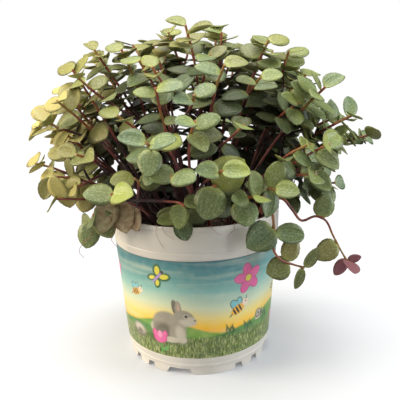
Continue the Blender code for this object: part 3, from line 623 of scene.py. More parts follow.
colour = blend(tree, grass_mask, colour, grass_ink)
colour = print_ellipses(tree, colour, place, motifs)
faded = calc(tree, "MULTIPLY", cloudy(tree, 220, 0.35, 0.7, 5.0), 0.10)
tree.links.new(blend(tree, faded, colour, paint(226, 222, 206)), shader.inputs["Base Color"])
bump(tree, shader, cloudy(tree, 120, 0.3, 0.7), 0.05, 0.0003)
print("film is", round(FILM_ROUND_MM), "by", round(FILM_HEIGHT_MM), "mm")

# %% [markdown]
# The film is a closed sleeve, a hair's breadth off the wall. Its outer face is cut into rows,
# so that the UV map follows the taper.

# %% The film
FILM_ROWS, FILM_STEPS = 8, 240
film_section = [(wall_radius(FILM_LOW) + GAP, FILM_LOW), (wall_radius(FILM_TOP) + GAP, FILM_TOP)]
for k in range(FILM_ROWS + 1):
    z = FILM_TOP + (FILM_LOW - FILM_TOP) * k / FILM_ROWS
    film_section.append((wall_radius(z) + GAP + FILM_THICKNESS, z))
film = turned("printed_film", film_section, FILM_STEPS, film_finish)
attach(film, "root")
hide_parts("printed_label")
print("film:", len(film.data.polygons), "faces")

# %% [markdown]
# Potting mix is dark, damp and crumbly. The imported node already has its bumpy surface, so
# it stays and gets a better material. Loose crumbs lie on it: a Geometry Nodes tree
# scatters points over a copy of the surface and puts a small rough lump on each, turned and
# sized at random from a fixed seed.

# %% Potting mix
mix_finish, tree, shader = new_material("damp_mix", Roughness=0.92)
grit = cloudy(tree, 420, 0.35, 0.65, 6.0)
tree.links.new(ramp(tree, grit, (0.2, 30, 22, 18), (0.6, 62, 46, 34),
                    (0.9, 104, 82, 60)), shader.inputs["Base Color"])
bump(tree, shader, grit, 0.9, 0.0012)
mix = frame["nodes"]["potting_mix"]
mix.data.materials.clear()
mix.data.materials.append(mix_finish)


def soil_height(x, y):
    """Height of the potting mix's bumpy surface."""
    away = math.hypot(x, y) / FILM_TOP_RADIUS
    bumps = math.sin(x * 260 + 1.3) * math.cos(y * 310 - 0.4)
    return SOIL_LEVEL + SOIL_CROWN * (1 - away * away) + 0.0009 * bumps


def soil_patch(rings=10, steps=36):
    """A mesh over the surface of the mix, on which crumbs are scattered."""
    places = [(0.0, 0.0, soil_height(0, 0))]
    for j in range(1, rings + 1):
        r = (FILM_TOP_RADIUS - 0.0045) * j / rings
        for k in range(steps):
            x, y, _ = round_axis(r, math.tau * k / steps, 0)
            places.append((x, y, soil_height(x, y)))
    faces = [(0, 1 + k, 1 + (k + 1) % steps) for k in range(steps)]
    mesh = bpy.data.meshes.new("soil_patch")
    mesh.from_pydata(places, [], faces + between_rings(rings, steps, first=1))
    return mesh


def crumb(seed=4):
    """One rough lump of mix, half a unit in radius."""
    rng = random.Random(seed)
    bm = bmesh.new()
    bmesh.ops.create_icosphere(bm, subdivisions=1, radius=0.5)
    for corner in bm.verts:
        corner.co *= rng.uniform(0.65, 1.2)
    return bpy.data.objects.new("crumb", mesh_from(bm, "crumb"))


def hand_out(tree, ends, out, geometry):
    """Ends a Geometry Nodes tree: the result becomes a plain mesh and gets its finish."""
    real = add(tree, "GeometryNodeRealizeInstances", {0: geometry})
    done = add(tree, "GeometryNodeSetMaterial", {0: real.outputs[0], "Material": ends["Finish"]})
    tree.links.new(done.outputs[0], out)


crumb_tree, ends, out = new_group(
    "crumbs", "GeometryNodeTree",
    [("Surface", "Geometry"), ("Crumb", "Object"), ("Per Square Metre", "Float", 90000.0),
     ("Smallest", "Float", 0.0008), ("Largest", "Float", 0.003), ("Seed", "Int", 7),
     ("Finish", "Material")],
    ("Crumbs", "Geometry"))
points = add(crumb_tree, "GeometryNodeDistributePointsOnFaces",
             {"Mesh": ends["Surface"], "Density": ends["Per Square Metre"], "Seed": ends["Seed"]})
lump = add(crumb_tree, "GeometryNodeObjectInfo", {"Object": ends["Crumb"]})
any_turn = add(crumb_tree, "FunctionNodeRandomValue", {1: (6.3, 6.3, 6.3), 8: ends["Seed"]},
               data_type="FLOAT_VECTOR")
any_size = add(crumb_tree, "FunctionNodeRandomValue",
               {2: ends["Smallest"], 3: ends["Largest"], 8: ends["Seed"]})
lumps = add(crumb_tree, "GeometryNodeInstanceOnPoints",
            {"Points": points.outputs["Points"], "Instance": lump.outputs["Geometry"],
             "Rotation": any_turn.outputs[0], "Scale": any_size.outputs[1]})
hand_out(crumb_tree, ends, out, lumps.outputs[0])


def run_tree(name, tree, source, values):
    """Runs a Geometry Nodes tree on a mesh and keeps the result as a plain, named piece."""
    helper = set_out("helper", source)
    modifier = helper.modifiers.new("tree", "NODES")
    modifier.node_group = tree
    for socket in tree.interface.items_tree:
        if socket.in_out == "INPUT" and socket.name in values:
            modifier[socket.identifier] = values[socket.name]
    mesh = result_of(helper)
    mesh.name = name
    bpy.data.objects.remove(helper)
    return set_out(name, mesh)


crumbs = run_tree("mix_crumbs", crumb_tree, soil_patch(), {"Crumb": crumb(), "Finish": mix_finish})
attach(crumbs, "root")
print("crumbs:", len(crumbs.data.polygons), "faces")

# %% [markdown]
# The vine grows by a rule. Main stems leave the soil and reach for points that are spread
# over a rounded mound by the golden angle, as seeds are in a sunflower, and side stems fork
# from them to fill the mound. A few stems that trail over the rim or stand apart follow
# points of their own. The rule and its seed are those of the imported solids, so each fine
# stem runs where its plain solid is.

# %% Measures of the mound and its stems
MOUND_CENTRE, MOUND_RADIUS, MOUND_RISE = 0.1430, 0.1010, 0.0780
WIDEST_LEAN = math.radians(113)
ROOT_RADIUS, ROOT_LIMIT = 0.0430, 0.0465
MAIN_COUNT, SIDE_COUNT = 49, 56
GOLDEN_ANGLE = math.pi * (3 - math.sqrt(5))
PLANT_LEAN = Vector((0.0, -0.03, 0.0))
STEM_SPANS, TRAILER_SPANS = 7, 10
ROOT_THICKNESS, TIP_THICKNESS, SIDE_THICKNESS = 0.0014, 0.0007, 0.0010
STEM_CLEARANCE = 0.0052
LEAST_FORK = math.radians(24)
MAIN_REACH, SIDE_REACH = (0.86, 1.03), (0.78, 1.0)  # shares of the mound at which stems end
AZIMUTH_SPREAD = 0.22
MAIN_BEND, MAIN_ARRIVAL, SIDE_BEND, SIDE_ARRIVAL = 0.36, 0.34, 0.26, 0.30  # handles, by length
SIDES_PER_MAIN = 2
SIDE_TURN = 1.9
SETTLING_ROUNDS, PUSH = 40, 0.35  # the share of the lacking room made up each round
OVER_RIM = 0.003
SEED = 11
TRAILERS = {  # each through points in millimetres
    "right_trailer": [(30, -18, 92), (52, -22, 110), (63, -22, 101), (70, -21, 93), (77, -20, 96),
                      (82, -20, 98), (87, -20, 89), (93, -20, 77), (100, -20, 65)],
    "front_hanger": [(33, -30, 92), (43, -42, 112), (46, -48, 104), (46, -50, 95),
                     (46, -51, 85), (52, -49, 77), (60, -46, 73), (66, -46, 71)],
    "front_bright": [(8, -36, 92), (8, -48, 112), (9, -62, 124), (9, -72, 130), (10, -79, 132)],
    "rim_hanger": [(-6, -38, 92), (-8, -50, 107), (-9, -56, 110), (-10, -60, 108)],
    "left_trailer": [(-34, -22, 92), (-42, -29, 109), (-52, -35, 114), (-60, -40, 110),
                     (-64, -42, 103)],
    "left_reacher": [(-30, -12, 92), (-54, -20, 117), (-76, -28, 127), (-88, -31, 129)],
    "left_tip": [(-30, 6, 92), (-62, 10, 128), (-88, 12, 150), (-105, 14, 158)],
    "right_reacher": [(32, -2, 92), (60, -12, 122), (84, -24, 141), (98, -28, 148), (106, -29, 150)],
}
print(MAIN_COUNT, "main stems,", SIDE_COUNT, "side stems and", len(TRAILERS), "with their own routes")

# %% [markdown]
# A stem is kept as the few points it passes through. Its leaves, and the side stems that
# fork from it, ask it for a place by a share of its length.

# %% One stem
class Stem:
    """One stem of a shoot: the points it passes through, and the leaves it carries."""

    def __init__(self, shoot, points, thickness, leaf_scale, host=None, host_span=0):
        self.shoot = shoot
        self.points = points
        self.thickness = thickness
        self.leaf_scale = leaf_scale
        self.host = host
        self.host_span = host_span
        self.leaves = []
        self.frames = []
        self.taken = set()

    def at(self, share):
        """Point, direction and span at a share of the stem's length."""
        left = share * self.length()
        for span, (a, b) in enumerate(zip(self.points, self.points[1:])):
            run = (b - a).length
            if left <= run or span == len(self.points) - 2:
                return a.lerp(b, min(left / run, 1.0)), (b - a).normalized(), span
            left -= run

    def length(self):
        return sum((b - a).length for a, b in zip(self.points, self.points[1:]))

    def radius(self, share):
        return self.thickness + (TIP_THICKNESS - self.thickness) * share

# %% [markdown]
# Each stem is a Bezier curve: it leaves its root or its fork one way and arrives at its tip
# another way, turned up to the light. A stem with a route of its own is a smooth curve
# through the route's points.

# %% Curves for the stems
def mound_point(lean, azimuth, reach):
    """A point of the mound: lean is measured from straight up, azimuth from +X."""
    return Vector((
        reach * MOUND_RADIUS * math.sin(lean) * math.cos(azimuth),
        reach * MOUND_RADIUS * math.sin(lean) * math.sin(azimuth),
        MOUND_CENTRE + reach * MOUND_RISE * math.cos(lean),
    ))


def heading(lean, azimuth):
    """The way a stem's tip points: outwards, and turned up to the light."""
    out = Vector((math.cos(azimuth), math.sin(azimuth), 0)) * math.sin(lean)
    return (out + Vector((0, 0, 0.30 + 0.85 * math.cos(lean)))).normalized()


def wander(rng, reach):
    """A sideways shift of up to reach, so that no two stems bend alike."""
    return Vector((rng.uniform(-reach, reach), rng.uniform(-reach, reach), 0))


def bezier(p0, p1, p2, p3, count):
    """Points along a cubic Bezier curve."""
    found = []
    for k in range(count + 1):
        t = k / count
        u = 1 - t
        found.append(p0 * u**3 + p1 * (3 * u * u * t) + p2 * (3 * u * t * t) + p3 * t**3)
    return found


def through(points, count):
    """Evenly spaced points on a smooth curve through the given ones."""
    ends = [points[0] * 2 - points[1]] + points + [points[-1] * 2 - points[-2]]
    fine = []
    for a, b, c, d in zip(ends, ends[1:], ends[2:], ends[3:]):
        for k in range(8):
            t = k / 8
            fine.append(0.5 * ((b * 2) + (c - a) * t + (a * 2 - b * 5 + c * 4 - d) * t * t
                               + (b * 3 - a - c * 3 + d) * t**3))
    fine.append(points[-1])
    run = [0.0]
    for a, b in zip(fine, fine[1:]):
        run.append(run[-1] + (b - a).length)
    found = []
    for k in range(count + 1):
        want = run[-1] * k / count
        i = max(j for j in range(len(run)) if run[j] <= want + 1e-12)
        i = min(i, len(fine) - 2)
        found.append(fine[i].lerp(fine[i + 1], (want - run[i]) / (run[i + 1] - run[i])))
    return found

# %% [markdown]
# The golden angle puts every next stem well away from the last ones. Its lean grows with its
# number, so that the tips cover the mound evenly and the roots the pot. A side stem forks
# from the nearest main stem that it can leave at a wide enough angle.

# %% Main, trailing and side stems
def lean_at(share):
    """How far from straight up the stems lean, evenly over the mound's surface."""
    return math.acos(1 - share * (1 - math.cos(WIDEST_LEAN)))


def main_stems(rng):
    """Stems spread by the golden angle, from the middle of the pot to its rim."""
    stems = []
    for i in range(MAIN_COUNT):
        share = (i + 0.5) / MAIN_COUNT
        lean = lean_at(share)
        azimuth = i * GOLDEN_ANGLE + rng.uniform(-AZIMUTH_SPREAD, AZIMUTH_SPREAD)
        tip = mound_point(lean, azimuth, rng.uniform(*MAIN_REACH))
        spread = ROOT_RADIUS * math.sqrt(share)
        out = Vector((math.cos(azimuth), math.sin(azimuth), 0))
        root = out * spread + Vector((0, 0, SOIL_LEVEL - SOCKET_DEPTH))
        rise = (tip - root).length
        first = root + (Vector((0, 0, 1)) + out * 0.45 * math.sin(lean)) * rise * MAIN_BEND
        first += wander(rng, 0.008)
        second = tip - heading(lean, azimuth) * rise * MAIN_ARRIVAL + wander(rng, 0.012)
        points = bezier(root, first, second, tip, STEM_SPANS)
        stems.append(Stem(f"shoot_{i + 1:02d}", points, ROOT_THICKNESS, 1.0))
    return stems


def trailing_stems():
    """The stems that hang over the rim or stand apart, through their own points."""
    stems = []
    for name, route in TRAILERS.items():
        points = through(millimetres(route), TRAILER_SPANS)
        points[0].z = SOIL_LEVEL - SOCKET_DEPTH
        stems.append(Stem(name, points, ROOT_THICKNESS, 1.0))
    return stems


def side_stems(mains, rng):
    """Side stems that fill the mound, each forking from the nearest main stem that can."""
    stems = []
    for i in range(SIDE_COUNT):
        share = (i + 0.5) / SIDE_COUNT
        lean = lean_at(share)
        azimuth = (i + 0.5) * GOLDEN_ANGLE + SIDE_TURN
        tip = mound_point(lean, azimuth, rng.uniform(*SIDE_REACH))
        taken = [s.host for s in stems]
        free = [m for m in mains if taken.count(m) < SIDES_PER_MAIN]
        for host in sorted(free, key=lambda m: (m.points[-1] - tip).length):
            span = rng.choice((3, 4))
            start = host.points[span].lerp(host.points[span + 1], 0.5)
            along = (host.points[span + 1] - host.points[span]).normalized()
            if along.angle(tip - start) > LEAST_FORK:
                break
        run = (tip - start).length
        way = (tip - start).normalized()
        first = start + (along * 0.35 + way) * run * SIDE_BEND
        second = tip - heading(lean, azimuth) * run * SIDE_ARRIVAL + wander(rng, 0.004)
        points = bezier(start, first, second, tip, STEM_SPANS - 3)
        stems.append(Stem(host.shoot, points, SIDE_THICKNESS, 0.95, host, span))
    return stems


print("widest lean:", round(math.degrees(lean_at(1.0))), "degrees")

# %% [markdown]
# Stems that crowd each other push apart, as long as they have room. Their roots stay level
# in the soil, and whatever crosses the rim is lifted over it. Then the whole plant leans a
# little to the front, and each side stem is set back on its fork.

# %% Settling
def settle(stems):
    """Stems that crowd each other push apart, and all stay inside or above the rim."""
    sizes = [len(s.points) for s in stems]
    owner = np.repeat(np.arange(len(stems)), sizes)
    shoot = np.array([stems[k].shoot for k in owner])
    place = np.array([p for s in stems for p in s.points])
    first = np.cumsum([0] + sizes[:-1])
    held = np.zeros(len(place), bool)
    held[[k for k, s in zip(first, stems) if s.host is None]] = True
    lower = np.flatnonzero(owner[:-1] == owner[1:])
    forks = np.isin(np.arange(len(place)), [k for k, s in zip(first, stems) if s.host])
    owners = np.concatenate([owner, owner[lower]])
    shoots = np.concatenate([shoot, shoot[lower]])
    forks = np.concatenate([forks, forks[lower]])
    for _ in range(SETTLING_ROUNDS):
        tested = np.concatenate([place, (place[lower] + place[lower + 1]) / 2])
        gap = tested[:, None, :] - tested[None, :, :]
        far = np.sqrt((gap**2).sum(2)) + 1e-9
        near = (far < STEM_CLEARANCE) & (owners[:, None] != owners[None, :])
        near &= ~((shoots[:, None] == shoots[None, :]) & (forks[:, None] | forks[None, :]))
        push = PUSH * (np.where(near, (STEM_CLEARANCE - far) / far, 0.0)[:, :, None] * gap).sum(1)
        move = push[:len(place)]
        np.add.at(move, lower, 0.5 * push[len(place):])
        np.add.at(move, lower + 1, 0.5 * push[len(place):])
        move[held, 2] = 0.0
        place += move
        out = np.hypot(place[:, 0], place[:, 1])
        place[held, :2] *= np.minimum(1.0, ROOT_LIMIT / out[held])[:, None]
        low = (place[:, 2] < POT_HEIGHT + OVER_RIM) & (out > RIM_RADIUS - 0.009)
        low &= (out < RIM_RADIUS + 0.001) & ~held
        place[low, 2] = POT_HEIGHT + OVER_RIM
        sunk = (place[:, 2] < SOIL_LEVEL + 2 * SOIL_CROWN) & (out < RIM_RADIUS) & ~held
        place[sunk, 2] = SOIL_LEVEL + 2 * SOIL_CROWN
    for s, start, size in zip(stems, first, sizes):
        s.points = [Vector(p) for p in place[start:start + size]]
        s.points = [p + PLANT_LEAN * max(p.z - SOIL_LEVEL, 0) for p in s.points]
        if s.host is None:
            collar = s.points[0].copy()
            collar.z = soil_height(collar.x, collar.y) + 0.0012
            s.points.insert(1, collar)
    for s in stems:
        if s.host is not None:
            s.host_span += 1
            span = s.host_span
            s.points[0] = s.host.points[span].lerp(s.host.points[span + 1], 0.5)


def frames_along(points, twist):
    """Two crosswise directions at each point, the first one level but for the twist."""
    found = []
    rise = (points[-1] - points[0]).normalized()
    cross = Vector((0, 0, 1)).cross(rise).normalized()
    cross = cross * math.cos(twist) + rise.cross(cross) * math.sin(twist)
    for k in range(len(points)):
        a = points[max(k - 1, 0)]
        b = points[min(k + 1, len(points) - 1)]
        along = (b - a).normalized()
        cross = (cross - along * cross.dot(along)).normalized()
        found.append((cross, along.cross(cross)))
    return found


rng = random.Random(SEED)
mains = main_stems(rng)
stems = trailing_stems() + mains
stems += side_stems(mains, rng)
settle(stems)
print(len(stems), "stems, tips up to", round(max(s.points[-1].z for s in stems) * 1000), "mm high")

# %% [markdown]
# Leaves stand up each stem by turns, small and young at the tip, full grown further down. A
# leaf that would cut through a stem, the pot or another leaf tries the stem's other sides,
# and is left out if none is free. The first pass gives the leaves of the imported solids. The
# second fills the gaps between them with the same rule, and lets leaves come closer, as
# they do on the plant.
#
# Some leaves that show most are given one by one, each from its stem towards its tip, in
# millimetres, with its width as a share of its length. The low front is left open, so that
# bare stems and shade show there. A few withered leaves lie over the rim on the left.

# %% Measures of the leaves
LEAF_LENGTH, LEAF_THICKNESS = 0.0150, 0.0006
LEAF_SECTIONS = ((0.28, 0.46), (0.68, 0.42))
MARGIN_LENGTH, MARGIN_WIDTH = 1.03, 1.06  # how much larger than the blade its test shape is
LENGTH_RANGE, WIDTH_RANGE = (0.88, 1.12), (0.74, 0.92)
YOUNG_SIZE = 0.62
ON_SURFACE = 0.8  # the share of the stem's radius at which a leaf's base lies
SPLAY, SPLAY_WITH_AGE, SPLAY_SPREAD = 56, 24, 12  # degrees between a leaf and its stem
FLATTENING = 0.75
OUTWARD_LIGHT, LIGHT_SPREAD = 0.45, 0.3
LEAFY_MAIN, LEAFY_SIDE = 0.62, 0.86  # shares of a stem's length that carry leaves
FIRST_BACK, FIRST_STEP, STEP_GROWTH, LONGEST_STEP = 0.0006, 0.0046, 0.0016, 0.0125
FIRST_AGE, AGEING = 0.35, 0.22
FILL_BEHIND, FILL_FRONT, FILL_SIDE = 0.90, 0.62, 0.94
FILL_BACK, FILL_STEP = 0.0030, 0.0046
FILL_AGE, FILL_AGEING, FILL_SPREAD = 0.5, 0.12, 0.86
STEM_TWIST = 0.5
RIM_SIDES = 32
MOST_LEAVES, SHADED_LEAVES = 5, 2
OPEN_TOP, OPEN_BACK, OPEN_RIGHT = 0.156, -0.030, 0.022  # bounds of the bare low front
LIGHT = Vector((0.0, -0.32, 0.55))  # the way leaves turn, before the way out of the mound
SHOWN_LEAVES = {
    "right_trailer": [((100, -20, 65), (108, -22, 68), 0.62), ((99, -20, 66), (93, -22, 56), 0.66),
                      ((93, -20, 77), (79, -25, 70), 0.84), ((82, -20, 98), (85, -21, 110), 0.86)],
    "front_hanger": [((66, -46, 71), (74, -44, 82), 0.50), ((65, -46, 71), (60, -50, 60), 0.46),
                     ((57, -47, 74), (43, -51, 71), 0.98), ((54, -48, 76), (60, -44, 90), 0.72),
                     ((46, -49, 98), (31, -56, 89), 0.95), ((46, -50, 96), (64, -46, 92), 0.66)],
    "front_bright": [((10, -79, 132), (5, -82, 115), 0.98), ((9, -76, 131), (21, -82, 142), 0.92)],
    "rim_hanger": [((-10, -60, 108), (-6, -63, 97), 0.86)],
    "left_trailer": [((-64, -42, 103), (-68, -46, 88), 0.84), ((-60, -40, 109), (-52, -48, 96), 0.80),
                     ((-50, -34, 114), (-51, -42, 128), 0.84)],
    "left_reacher": [((-88, -31, 129), (-93, -36, 117), 0.74), ((-79, -29, 128), (-77, -37, 112), 0.86),
                     ((-66, -25, 123), (-70, -33, 108), 0.86)],
}
SHOWN_LEAVES_FACE = Vector((0.05, -1.0, 0.40))
LIME_AGE = 0.1
# Withered leaves: from, towards, width by length, and how dry they are.
WITHERED_LEAVES = [((-46, -40, 108), (-45, -49, 120), 0.42, 1.0),
                   ((-52, -37, 112), (-57, -49, 99), 0.72, 0.5),
                   ((-46, -38, 107), (-42, -51, 100), 0.66, 0.7),
                   ((-42, -40, 106), (-36, -52, 104), 0.5, 0.9)]
BARE_SHOOTS = ("right_trailer", "front_hanger", "front_bright", "rim_hanger")
print(sum(len(leaves) for leaves in SHOWN_LEAVES.values()), "leaves set by hand")

# %% [markdown]
# To test a leaf against its neighbours, each thing gets a rough shape in a search tree: six
# corners and a thickness for a blade, four sides for a stem, and a turned one for the pot.

# %% Search trees for what a leaf may touch
def leaf_outline(leaf, attached, spread=1.0):
    """Corners round the blade, with or without the point where it joins the stem."""
    base, along, normal, length, width = leaf[:5]
    across = normal.cross(along)
    (near, near_half), (far, far_half) = LEAF_SECTIONS
    outline = [(near, near_half), (far, far_half), (1.0, 0.0), (far, -far_half), (near, -near_half)]
    if attached:
        outline.append((0.0, 0.0))
    return [base + along * (length * MARGIN_LENGTH * spread * share)
            + across * (width * MARGIN_WIDTH * spread * half) for share, half in outline]


def blade_tree(leaf, attached=True, spread=1.0):
    """A search tree over the blade, to test it against its neighbours."""
    flat = leaf_outline(leaf, attached, spread)
    lift = leaf[2] * (0.8 * LEAF_THICKNESS)
    corners = [p + lift for p in flat] + [p - lift for p in flat]
    n = len(flat)
    faces = [(0, k, k + 1) for k in range(1, n - 1)]
    faces += [(n, n + k + 1, n + k) for k in range(1, n - 1)]
    faces += [(k, (k + 1) % n, n + k) for k in range(n)]
    faces += [((k + 1) % n, n + (k + 1) % n, n + k) for k in range(n)]
    return BVHTree.FromPolygons(corners, faces)


def stem_tree(stem):
    """A search tree over the stem, a little thicker than it is."""
    corners = []
    for k, point in enumerate(stem.points):
        share = k / (len(stem.points) - 1)
        _, along, _ = stem.at(min(share, 0.999))
        n1 = along.orthogonal().normalized()
        n2 = along.cross(n1)
        radius = stem.radius(share) * 1.25 + GAP
        for a in range(4):
            turn = math.tau * a / 4
            corners.append(point + n1 * (radius * math.cos(turn)) + n2 * (radius * math.sin(turn)))
    return BVHTree.FromPolygons(corners, between_rings(len(stem.points), 4))


def rim_tree():
    """A search tree over the pot's rim and wall, so that leaves stay off them."""
    outline = [(RIM_RADIUS + 0.0006, 0.0), (RIM_RADIUS + 0.0006, POT_HEIGHT + 0.0006),
               (RIM_RADIUS - 0.0028, POT_HEIGHT + 0.0006), (RIM_RADIUS - 0.0050, SOIL_LEVEL),
               (0.0, SOIL_LEVEL + SOIL_CROWN + 0.0012)]
    corners = [round_axis(r, math.tau * k / RIM_SIDES, z) for r, z in outline for k in range(RIM_SIDES)]
    return BVHTree.FromPolygons(corners, between_rings(len(outline), RIM_SIDES))


print("search trees are ready")

# %% [markdown]
# A leaf starts on one of its stem's four sides, splayed from the stem and flattened. Its
# face turns to the light, which comes from above and a little from the front, and outwards.

# %% One leaf
def side_facing(frame, way):
    """Which of the stem's four sides, counted by quarter turns, faces a direction most."""
    ways = [frame[0], frame[1], -frame[0], -frame[1]]
    return max(range(4), key=lambda k: ways[k].dot(way))


def outwards(place):
    """The way out of the mound at a place."""
    x, y, z = place.x, place.y, place.z - MOUND_CENTRE
    return Vector((x / MOUND_RADIUS**2, y / MOUND_RADIUS**2, z / MOUND_RISE**2)).normalized()


def facing(light, along):
    """The normal of a blade that points along a way and turns its face to the light."""
    normal = light - along * light.dot(along)
    if normal.length < 0.05:
        normal = along.orthogonal()
    return normal.normalized()


def make_leaf(stem, share, side, age, rng):
    """One leaf as (base, along, normal, length, width, age, span) for a place on a stem."""
    place, tangent, span = stem.at(share)
    frame = stem.frames[span]
    turn = math.pi / 2 * side + rng.uniform(-0.25, 0.25)
    out = frame[0] * math.cos(turn) + frame[1] * math.sin(turn)
    splay = math.radians(SPLAY + SPLAY_WITH_AGE * age + rng.uniform(-SPLAY_SPREAD, SPLAY_SPREAD))
    along = out * math.sin(splay) + tangent * math.cos(splay)
    along.z *= FLATTENING
    along.normalize()
    light = LIGHT + outwards(place) * OUTWARD_LIGHT
    light += Vector([rng.uniform(-LIGHT_SPREAD, LIGHT_SPREAD) for _ in range(3)])
    grown = YOUNG_SIZE + (1 - YOUNG_SIZE) * age
    length = LEAF_LENGTH * stem.leaf_scale * grown * rng.uniform(*LENGTH_RANGE)
    width = length * rng.uniform(*WIDTH_RANGE)
    base = place + out * (stem.radius(share) * ON_SURFACE)
    return (base, along, facing(light, along), length, width, age, span)


def shown_leaf(stem, base, tip, spread):
    """A listed leaf, from near one point of its stem towards another point."""
    shares = [k / 60 for k in range(61)]
    share = min(shares, key=lambda t: (stem.at(t)[0] - base).length)
    place, tangent, span = stem.at(share)
    along = (tip - place).normalized()
    length = (tip - place).length
    sideways = along - tangent * along.dot(tangent)
    base = place + sideways.normalized() * (stem.radius(share) * ON_SURFACE)
    return (base, along, facing(SHOWN_LEAVES_FACE, along), length, length * spread, 1.0, span)


def accept(stem, leaf, side, own, obstacles, spread=1.0):
    """Keeps a leaf if its blade touches nothing, and says whether it did."""
    middle = leaf[0] + leaf[1] * (leaf[3] / 2)
    near = [o for o in obstacles
            if o[0] is not stem and (o[1] - middle).length < o[2] + leaf[3]]
    tree = blade_tree(leaf, True, spread)
    if own.overlap(blade_tree(leaf, False, spread)) or any(o[3].overlap(tree) for o in near):
        return False
    obstacles.append((leaf, middle, leaf[3] / 2, tree))
    stem.leaves.append(leaf)
    stem.taken.add((leaf[6], side))
    return True


def try_sides(stem, share, sides, age, rng, own, obstacles, spread=1.0, taken=()):
    """Tries a leaf on the stem's sides in turn, and keeps the first that fits."""
    span = stem.at(share)[2]
    for side in sides:
        if (span, side) in taken:
            continue
        if accept(stem, make_leaf(stem, share, side, age, rng), side, own, obstacles, spread):
            break


print("a leaf turns its face to", tuple(facing(LIGHT, Vector((1, 0, 0)))))

# %% [markdown]
# The first pass starts with the listed leaves, then walks down each stem from its tip,
# with longer and longer steps between older and older leaves.

# %% The first pass
def grow_leaves(stems, rng):
    """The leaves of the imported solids, and the list of what later leaves have to avoid."""
    obstacles = [(None, Vector((0, 0, 0)), 9.0, rim_tree())]
    for s in stems:
        reach = s.length() / 2 + 0.002
        obstacles.append((s, (s.points[0] + s.points[-1]) / 2, reach, stem_tree(s)))
        s.frames = frames_along(s.points, rng.uniform(-STEM_TWIST, STEM_TWIST))
    for s in stems:
        if s.host is not None:
            way = s.points[1] - s.points[0]
            s.host.taken.add((s.host_span, side_facing(s.host.frames[s.host_span], way)))
    for s in stems:
        own = stem_tree(s)
        for base, tip, spread in SHOWN_LEAVES.get(s.shoot, []):
            leaf = shown_leaf(s, *millimetres((base, tip)), spread)
            side = side_facing(s.frames[leaf[6]], leaf[1])
            if (leaf[6], side) not in s.taken:
                accept(s, leaf, side, own, obstacles)
    for s in stems:
        own = stem_tree(s)
        total = s.length()
        leafy = total * (LEAFY_MAIN if s.host is None else LEAFY_SIDE)
        back, step, row, age = FIRST_BACK, FIRST_STEP, rng.choice((0, 2)), FIRST_AGE
        most = MOST_LEAVES if s.host is None else MOST_LEAVES - 1
        tip = s.points[-1]
        low = tip.z < OPEN_TOP and tip.y < OPEN_BACK and tip.x < OPEN_RIGHT
        if low and s.shoot not in TRAILERS:
            most = SHADED_LEAVES
        while back < leafy and len(s.leaves) < most:
            sides = [(row + onwards) % 4 for onwards in (0, 2, 0, 1, 3)]
            try_sides(s, 1 - back / total, sides, age, rng, own, obstacles, taken=s.taken)
            back += step
            step = min(step + STEP_GROWTH, LONGEST_STEP)
            row = (row + 2) % 4
            age = min(1.0, age + AGEING)
    return obstacles

# %% [markdown]
# The second pass adds leaves where daylight reaches, which are few low down in front, where
# the mound is open. One leaf is young and lime, and the withered ones hang from the stems
# nearest to them.

# %% The second pass
def mound_share(place):
    """Where a place lies in the mound: from its middle, in shares of its half sizes."""
    return Vector((place.x / MOUND_RADIUS, place.y / MOUND_RADIUS,
                   (place.z - MOUND_CENTRE) / MOUND_RISE))


def daylight(place):
    """How much light a place gets: 1 at the mound's top and back, 0 low down in front."""
    reach = mound_share(place)
    low_front = 2.4 * reach.y + 2.0 * max(0.0, reach.x)
    return min(1.0, max(0.0, 1.9 * (reach.length - 0.62) + 1.1 * reach.z + low_front))


def fill_leaves(stems, obstacles, rng):
    """More leaves wherever there is light for them, a little closer together."""
    for s in stems:
        if s.shoot in BARE_SHOOTS:
            continue
        own = stem_tree(s)
        total = s.length()
        main = FILL_BEHIND if s.points[0].y > 0 else FILL_FRONT
        leafy = total * (main if s.host is None else FILL_SIDE)
        back, row, age = FILL_BACK, rng.choice((0, 1, 2, 3)), FILL_AGE
        while back < leafy:
            share = 1 - back / total
            if rng.random() < daylight(s.at(share)[0]):
                sides = [(row + onwards) % 4 for onwards in (0, 2, 1, 3, 0, 2)]
                try_sides(s, share, sides, age, rng, own, obstacles, FILL_SPREAD)
            back += FILL_STEP
            row = (row + 2) % 4
            age = min(1.0, age + FILL_AGEING)


def wither(stems, base, tip, spread, dryness):
    """Adds a withered leaf, hung from the nearest stem; how dry it is adds to its age."""
    base, tip = millimetres((base, tip))
    nearest = min(stems, key=lambda s: min((p - base).length for p in s.points))
    leaf = shown_leaf(nearest, base, tip, spread)
    nearest.leaves.append(leaf[:5] + (1.0 + dryness, leaf[6]))


obstacles = grow_leaves(stems, rng)
first_leaves = sum(len(s.leaves) for s in stems)
fill_leaves(stems, obstacles, random.Random(SEED + 1))
bright = next(s for s in stems if s.shoot == "front_bright")
bright.leaves[1] = bright.leaves[1][:5] + (LIME_AGE, bright.leaves[1][6])
for values in WITHERED_LEAVES:
    wither(stems, *values)
print("leaves:", first_leaves, "and then", sum(len(s.leaves) for s in stems))
